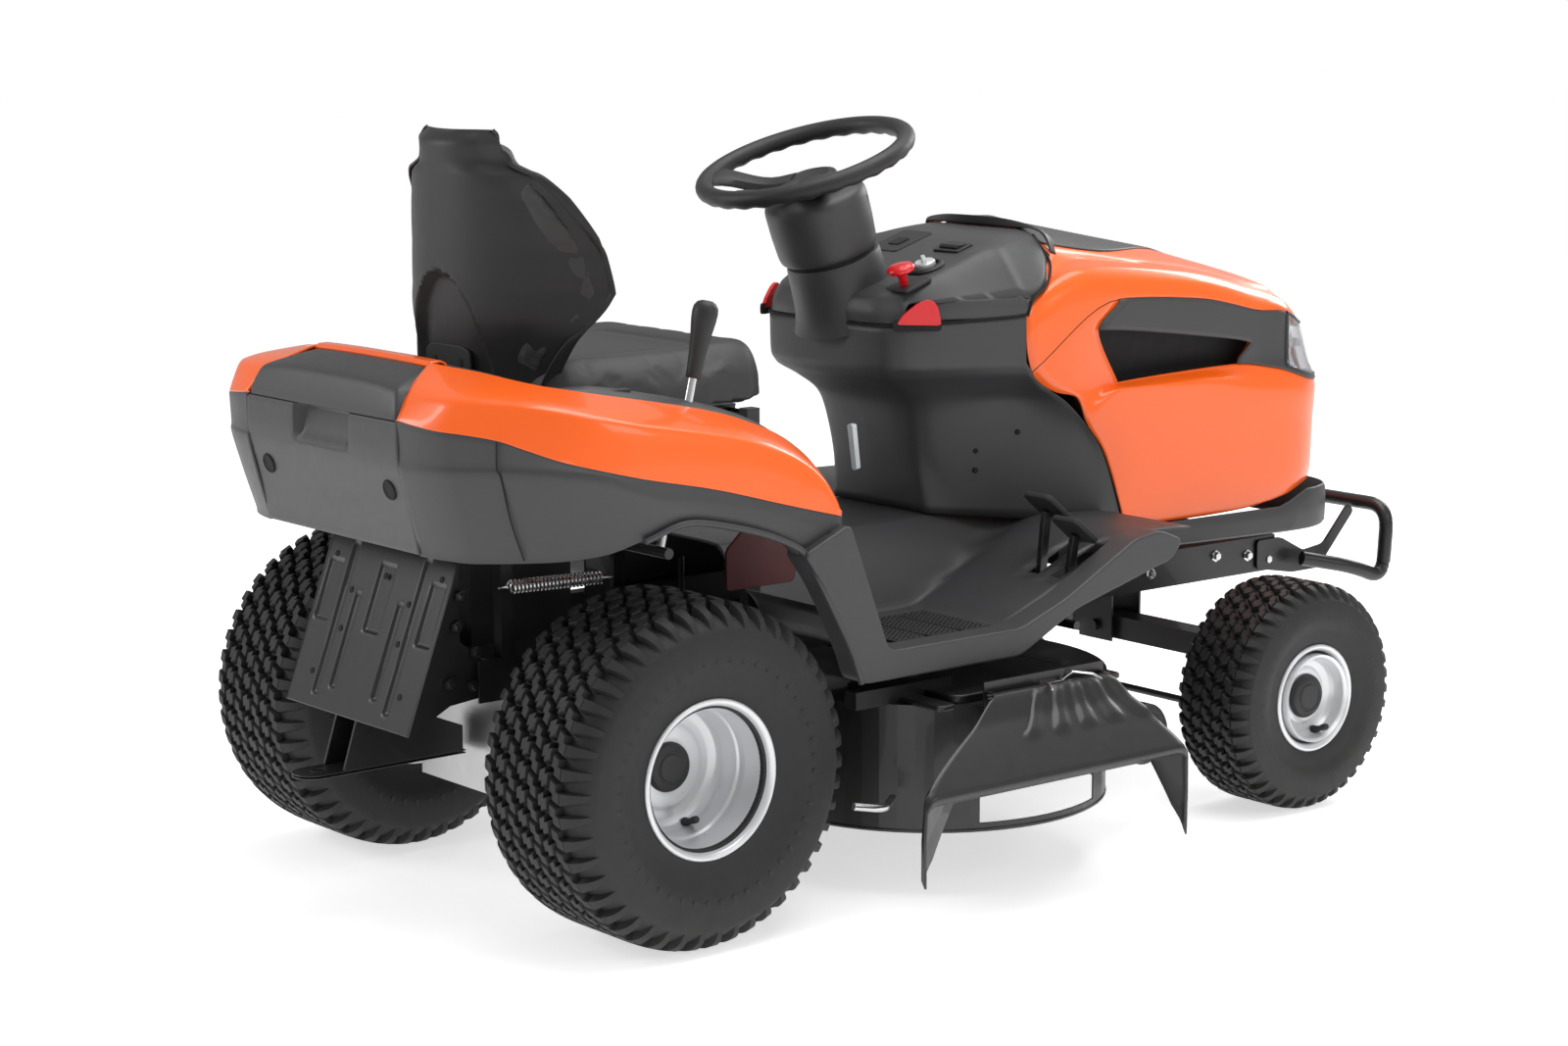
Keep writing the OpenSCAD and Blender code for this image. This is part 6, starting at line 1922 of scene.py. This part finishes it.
@dataclass
class Deck:
    """Mowing deck: stamped shell with a rolled rim, hinged deflector, its spring, and gauge wheels."""

    def build(self, shop: Shop) -> None:
        """Makes the pieces of the deck.

        Args:
            shop: Where the pieces are made.
        """
        self.shell(shop)
        self.deflector(shop)
        self.wheels(shop)

    def shell(self, shop: Shop) -> None:
        """The rolled rim of the deck and ribs over the CAD shell.

        Args:
            shop: Where the pieces are made.
        """
        t = np.linspace(-np.pi / 2, np.pi / 2, 33)
        right = np.stack([604 + 281 * np.sin(t), -262 - 281 * np.cos(t), np.full(33, 106.5)], -1)
        left = right[::-1] * RIGHT
        path = np.concatenate([right, left])
        ring = Shape().tube(path, 3.6, 10, loop=True)
        shop.make("deck_rim", ring, BLACK, "deck")
        house = Shape()
        for x0, x1 in ((400, 436), (744, 780)):
            house.slab(rounded([(x0, -520), (x1, -520), (x1, -300), (x0, -300)], 12, 3), (0, 0, 299),
                       (1, 0, 0), (0, 1, 0), 9)
        house.slab(rounded([(450, -500), (730, -500), (730, -330), (450, -330)], 30, 4), (0, 0, 299),
                   (1, 0, 0), (0, 1, 0), 14)
        shop.make("deck_pressings", house, BLACK, "deck", bevel=4, bevel_steps=3)
        rods = Shape()
        rods.tube(smooth_path([(250, -500, 178), (300, -512, 168), (352, -470, 168)], 20), 6.0, 12)
        shop.make("deck_rods", rods, STEEL, "deck")

    def deflector(self, shop: Shop) -> None:
        """The discharge deflector: a flared hood with a fan of ribs, turned lips and a hinge spring.

        Args:
            shop: Where the pieces are made.
        """
        s = np.linspace(0, 1, 25)
        t = np.linspace(0, 1, 61)
        ss, tt = np.meshgrid(s, t, indexing="ij")
        lip = 1 - (1 - np.minimum(ss / 0.92, 1)) ** 1.15
        x0 = 480 + (262 - 480) * lip
        x1 = 724 + (792 - 724) * lip
        x = x0 + (x1 - x0) * tt
        y = -548 - (650 - 548) * ss ** 0.92
        z = 322 - (322 - 216) * ss ** 1.05 - 26 * step_in(ss, 0.02, 0.3) * (1 - ss) * 0.5
        u = (tt - 0.12) * 7.2
        fan = np.where((tt > 0.34) & (tt < 0.99), np.clip(np.cos(u * 2 * np.pi) * 2.4 + 0.4, 0, 1), 0)
        z = z + 5.0 * fan * step_in(ss, 0.06, 0.1) * step_in(-ss, -0.56, -0.48)
        edge = np.minimum(tt, 1 - tt)
        z = z - 10 * np.clip(1 - edge / 0.03, 0, 1) ** 2
        roof = np.stack([x, y, z], -1)
        shape = Shape().sheet(roof, None, (600, -560, 150))
        for first, foot in ((0, 84), (-1, 74)):
            top = roof[:, first]
            low = top.copy()
            low[:, 2] = np.interp(np.linspace(0, 1, 25), [0, 0.35, 0.75, 1], [270, 214, 118, foot])
            low[:, 0] += -6 if first == 0 else 2
            mid = top * 0.5 + low * 0.5 + (-3 if first == 0 else 2, 0, 0)
            bent = top + (-2 if first == 0 else 2, 0, -8)
            shape.sheet(np.stack([top, bent, mid, low]), None, (600, -580, 180))
        front = roof[-1]
        drop = np.stack([front, front + (0, -1.5, -4), front + (0, 1, -14)])
        shape.sheet(drop, None, (600, -560, 150))
        shop.make("deflector_dressed", shape, BLACK, "deflector", ["deflector"], thick=4.0, sharp=40,
                  turn_out=False)
        hinge = Shape()
        for x0, x1 in ((496, 536), (664, 704)):
            hinge.turned([(0, 0), (8, 0), (8, x1 - x0), (0, x1 - x0)], (x0, -541, 312), (1, 0, 0), 28)
        shop.make("deflector_knuckles", hinge, BLACK, "deflector", sharp=35)
        turn = np.linspace(0, 7 * 2 * np.pi, 84)
        coil = np.stack([600 + turn / turn.max() * 34, -541 + 7.4 * np.cos(turn),
                         312 + 7.4 * np.sin(turn)], -1)
        tail = np.array([(634, -533, 316), (652, -540, 330), (680, -556, 326), (690, -566, 318)], float)
        head = np.array([(586, -566, 316), (592, -552, 322), (600, -534, 314)], float)
        wire = Shape().tube(np.concatenate([head, coil[1:-1], tail]), 1.9, 6, up=(1, 0.02, 0.03))
        shop.make("deflector_spring", wire, STEEL, "deflector")

    def wheels(self, shop: Shop) -> None:
        """The two gauge wheels: small plastic wheels with a stepped face.

        Args:
            shop: Where the pieces are made.
        """
        for side, y in (("right", -1.0), ("left", 1.0)):
            mid, (_, w, r), _ = Shop.packed(f"gauge_wheel_{side}")
            face = [(7, -w + 1), (r - 12, -w + 1), (r - 9, -w), (r - 3, -w + 1), (r, -w + 5), (r, w - 5),
                    (r - 3, w - 1), (r - 9, w), (r - 12, w - 2), (r - 14, w - 5), (20, w - 5), (17, w - 1),
                    (8, w - 1), (7, w - 3)]
            wheel = Shape().turned(face, (mid.x, mid.y, mid.z), (0, y, 0), 56, loop=True)
            shop.make(f"gauge_wheel_{side}_dressed", wheel, SOFT_BLACK, f"gauge_wheel_{side}",
                      [f"gauge_wheel_{side}"], sharp=35)


# --------------------------------------------------------------------------- studio
@dataclass
class Studio:
    """Pale flat floor, soft lights and the camera."""

    lens: float = 75.94
    place: tuple[float, float, float] = (-3.4557, -4.0259, 1.3981)
    yaw: float = 50.82
    pitch: float = -9.66
    roll: float = -0.12

    def build(self) -> None:
        """Makes the floor, the lights, the surroundings and the camera."""
        self.floor()
        self.lights()
        self.camera()

    def floor(self) -> None:
        """The floor: a wide flat sheet, white and slightly glossy."""
        mesh = bpy.data.meshes.new("studio_floor")
        r = 30.0
        mesh.from_pydata([(-r, -r, 0), (r, -r, 0), (r, r, 0), (-r, r, 0)], [], [(0, 1, 2, 3)])
        obj = bpy.data.objects.new("studio_floor", mesh)
        bpy.context.scene.collection.objects.link(obj)
        mat = bpy.data.materials.new("studio_white")
        mat.use_nodes = True
        skin = mat.node_tree.nodes["Principled BSDF"]
        skin.inputs["Base Color"].default_value = (0.95, 0.95, 0.95, 1)
        skin.inputs["Roughness"].default_value = 0.6
        skin.inputs["Specular IOR Level"].default_value = 0.2
        skin.inputs["Emission Color"].default_value = (1, 1, 1, 1)
        skin.inputs["Emission Strength"].default_value = 0.6
        mesh.materials.append(mat)

    def lights(self) -> None:
        """A bright even surround, a wide overhead light, and softer ones from the sides."""
        world = bpy.data.worlds.new("studio_surround")
        world.use_nodes = True
        tree = world.node_tree
        seen = tree.nodes.new("ShaderNodeLightPath")
        level = tree.nodes.new("ShaderNodeMapRange")
        level.inputs["To Min"].default_value = 0.42
        level.inputs["To Max"].default_value = 1.05
        tree.links.new(seen.outputs["Is Camera Ray"], level.inputs["Value"])
        tree.nodes["Background"].inputs[0].default_value = (1, 1, 1, 1)
        tree.links.new(level.outputs[0], tree.nodes["Background"].inputs[1])
        bpy.context.scene.world = world
        for name, at, size, power in (
                ("overhead", (0.3, -0.4, 3.4), (3.4, 2.4), 84.0),
                ("right_side", (1.2, -4.4, 2.6), (2.6, 1.4), 30.0),
                ("behind_left", (-3.4, 2.2, 2.2), (1.6, 1.4), 40.0),
                ("front_rim", (3.4, 0.6, 2.0), (1.6, 1.4), 42.0)):
            lamp = bpy.data.lights.new(name, "AREA")
            lamp.shape = "RECTANGLE"
            lamp.size, lamp.size_y = size
            lamp.energy = power
            obj = bpy.data.objects.new(name, lamp)
            obj.location = at
            aim = Vector((0.0, 0.0, 0.55)) - Vector(at)
            obj.rotation_euler = aim.to_track_quat("-Z", "Y").to_euler()
            bpy.context.scene.collection.objects.link(obj)

    def camera(self) -> None:
        """The camera: turned by yaw about the upright, then pitch, then a touch of roll."""
        data = bpy.data.cameras.new("studio_camera")
        data.lens = self.lens
        data.sensor_width = 36.0
        data.sensor_fit = "HORIZONTAL"
        data.clip_end = 100.0
        obj = bpy.data.objects.new("studio_camera", data)
        obj.location = self.place
        way = Vector((math.cos(math.radians(self.pitch)) * math.cos(math.radians(self.yaw)),
                      math.cos(math.radians(self.pitch)) * math.sin(math.radians(self.yaw)),
                      math.sin(math.radians(self.pitch))))
        turn = way.to_track_quat("-Z", "Y").to_matrix()
        obj.rotation_euler = (turn @ Matrix.Rotation(math.radians(self.roll), 3, "Z")).to_euler()
        bpy.context.scene.collection.objects.link(obj)
        bpy.context.scene.camera = obj
        scene = bpy.context.scene
        scene.view_settings.view_transform = "Standard"
        scene.view_settings.look = "None"
        scene.view_settings.exposure = 0.0


CARRIED = {
    "frame": BLACK, "transaxle": CASTING, "engine": IRON, "fuel_tank": TANK, "battery": SOFT_BLACK,
    "steering_shaft": STEEL, "tie_rod": BLACK, "front_axle": BLACK, "knuckle_left": BLACK,
    "knuckle_right": BLACK, "seat_pan": BLACK, "deck_belt": BELT, "blade_left": BLADE_STEEL,
    "blade_right": BLADE_STEEL,
}


def dress_carried() -> None:
    """Gives every CAD node a finish: its own where it stays in sight, its slot's where it is replaced."""
    slots = {s["node"]: s["material_slot"] for s in frame["record"]["subparts"]}
    by_slot = {f.slot: f for f in (RED, SOFT_BLACK, MOULDING, STEEL, LENS, BELT, VINYL, TYRE, RIM, MAT_RUBBER,
                                   TANK, IRON, CASTING, BLACK, PAINT)}
    for name, obj in frame["nodes"].items():
        CARRIED.get(name, by_slot[slots[name]]).dress(obj)


def main() -> None:
    """Builds the studio, gives the CAD nodes their finishes, builds every sub-assembly in order and logs the
    count of pieces.
    """
    logging.basicConfig(level=logging.INFO, format="%(name)s %(message)s")
    Studio().build()
    dress_carried()
    shop = Shop()
    for wheel in wheels():
        wheel.build(shop)
    for part in (Hood(), RearBody(), Seat(), Console(), SteeringWheel(), Footrest(), Underbody(), Deck()):
        part.build(shop)
    LOG.info("%d pieces", shop.tally)


if __name__ == "__main__":
    main()
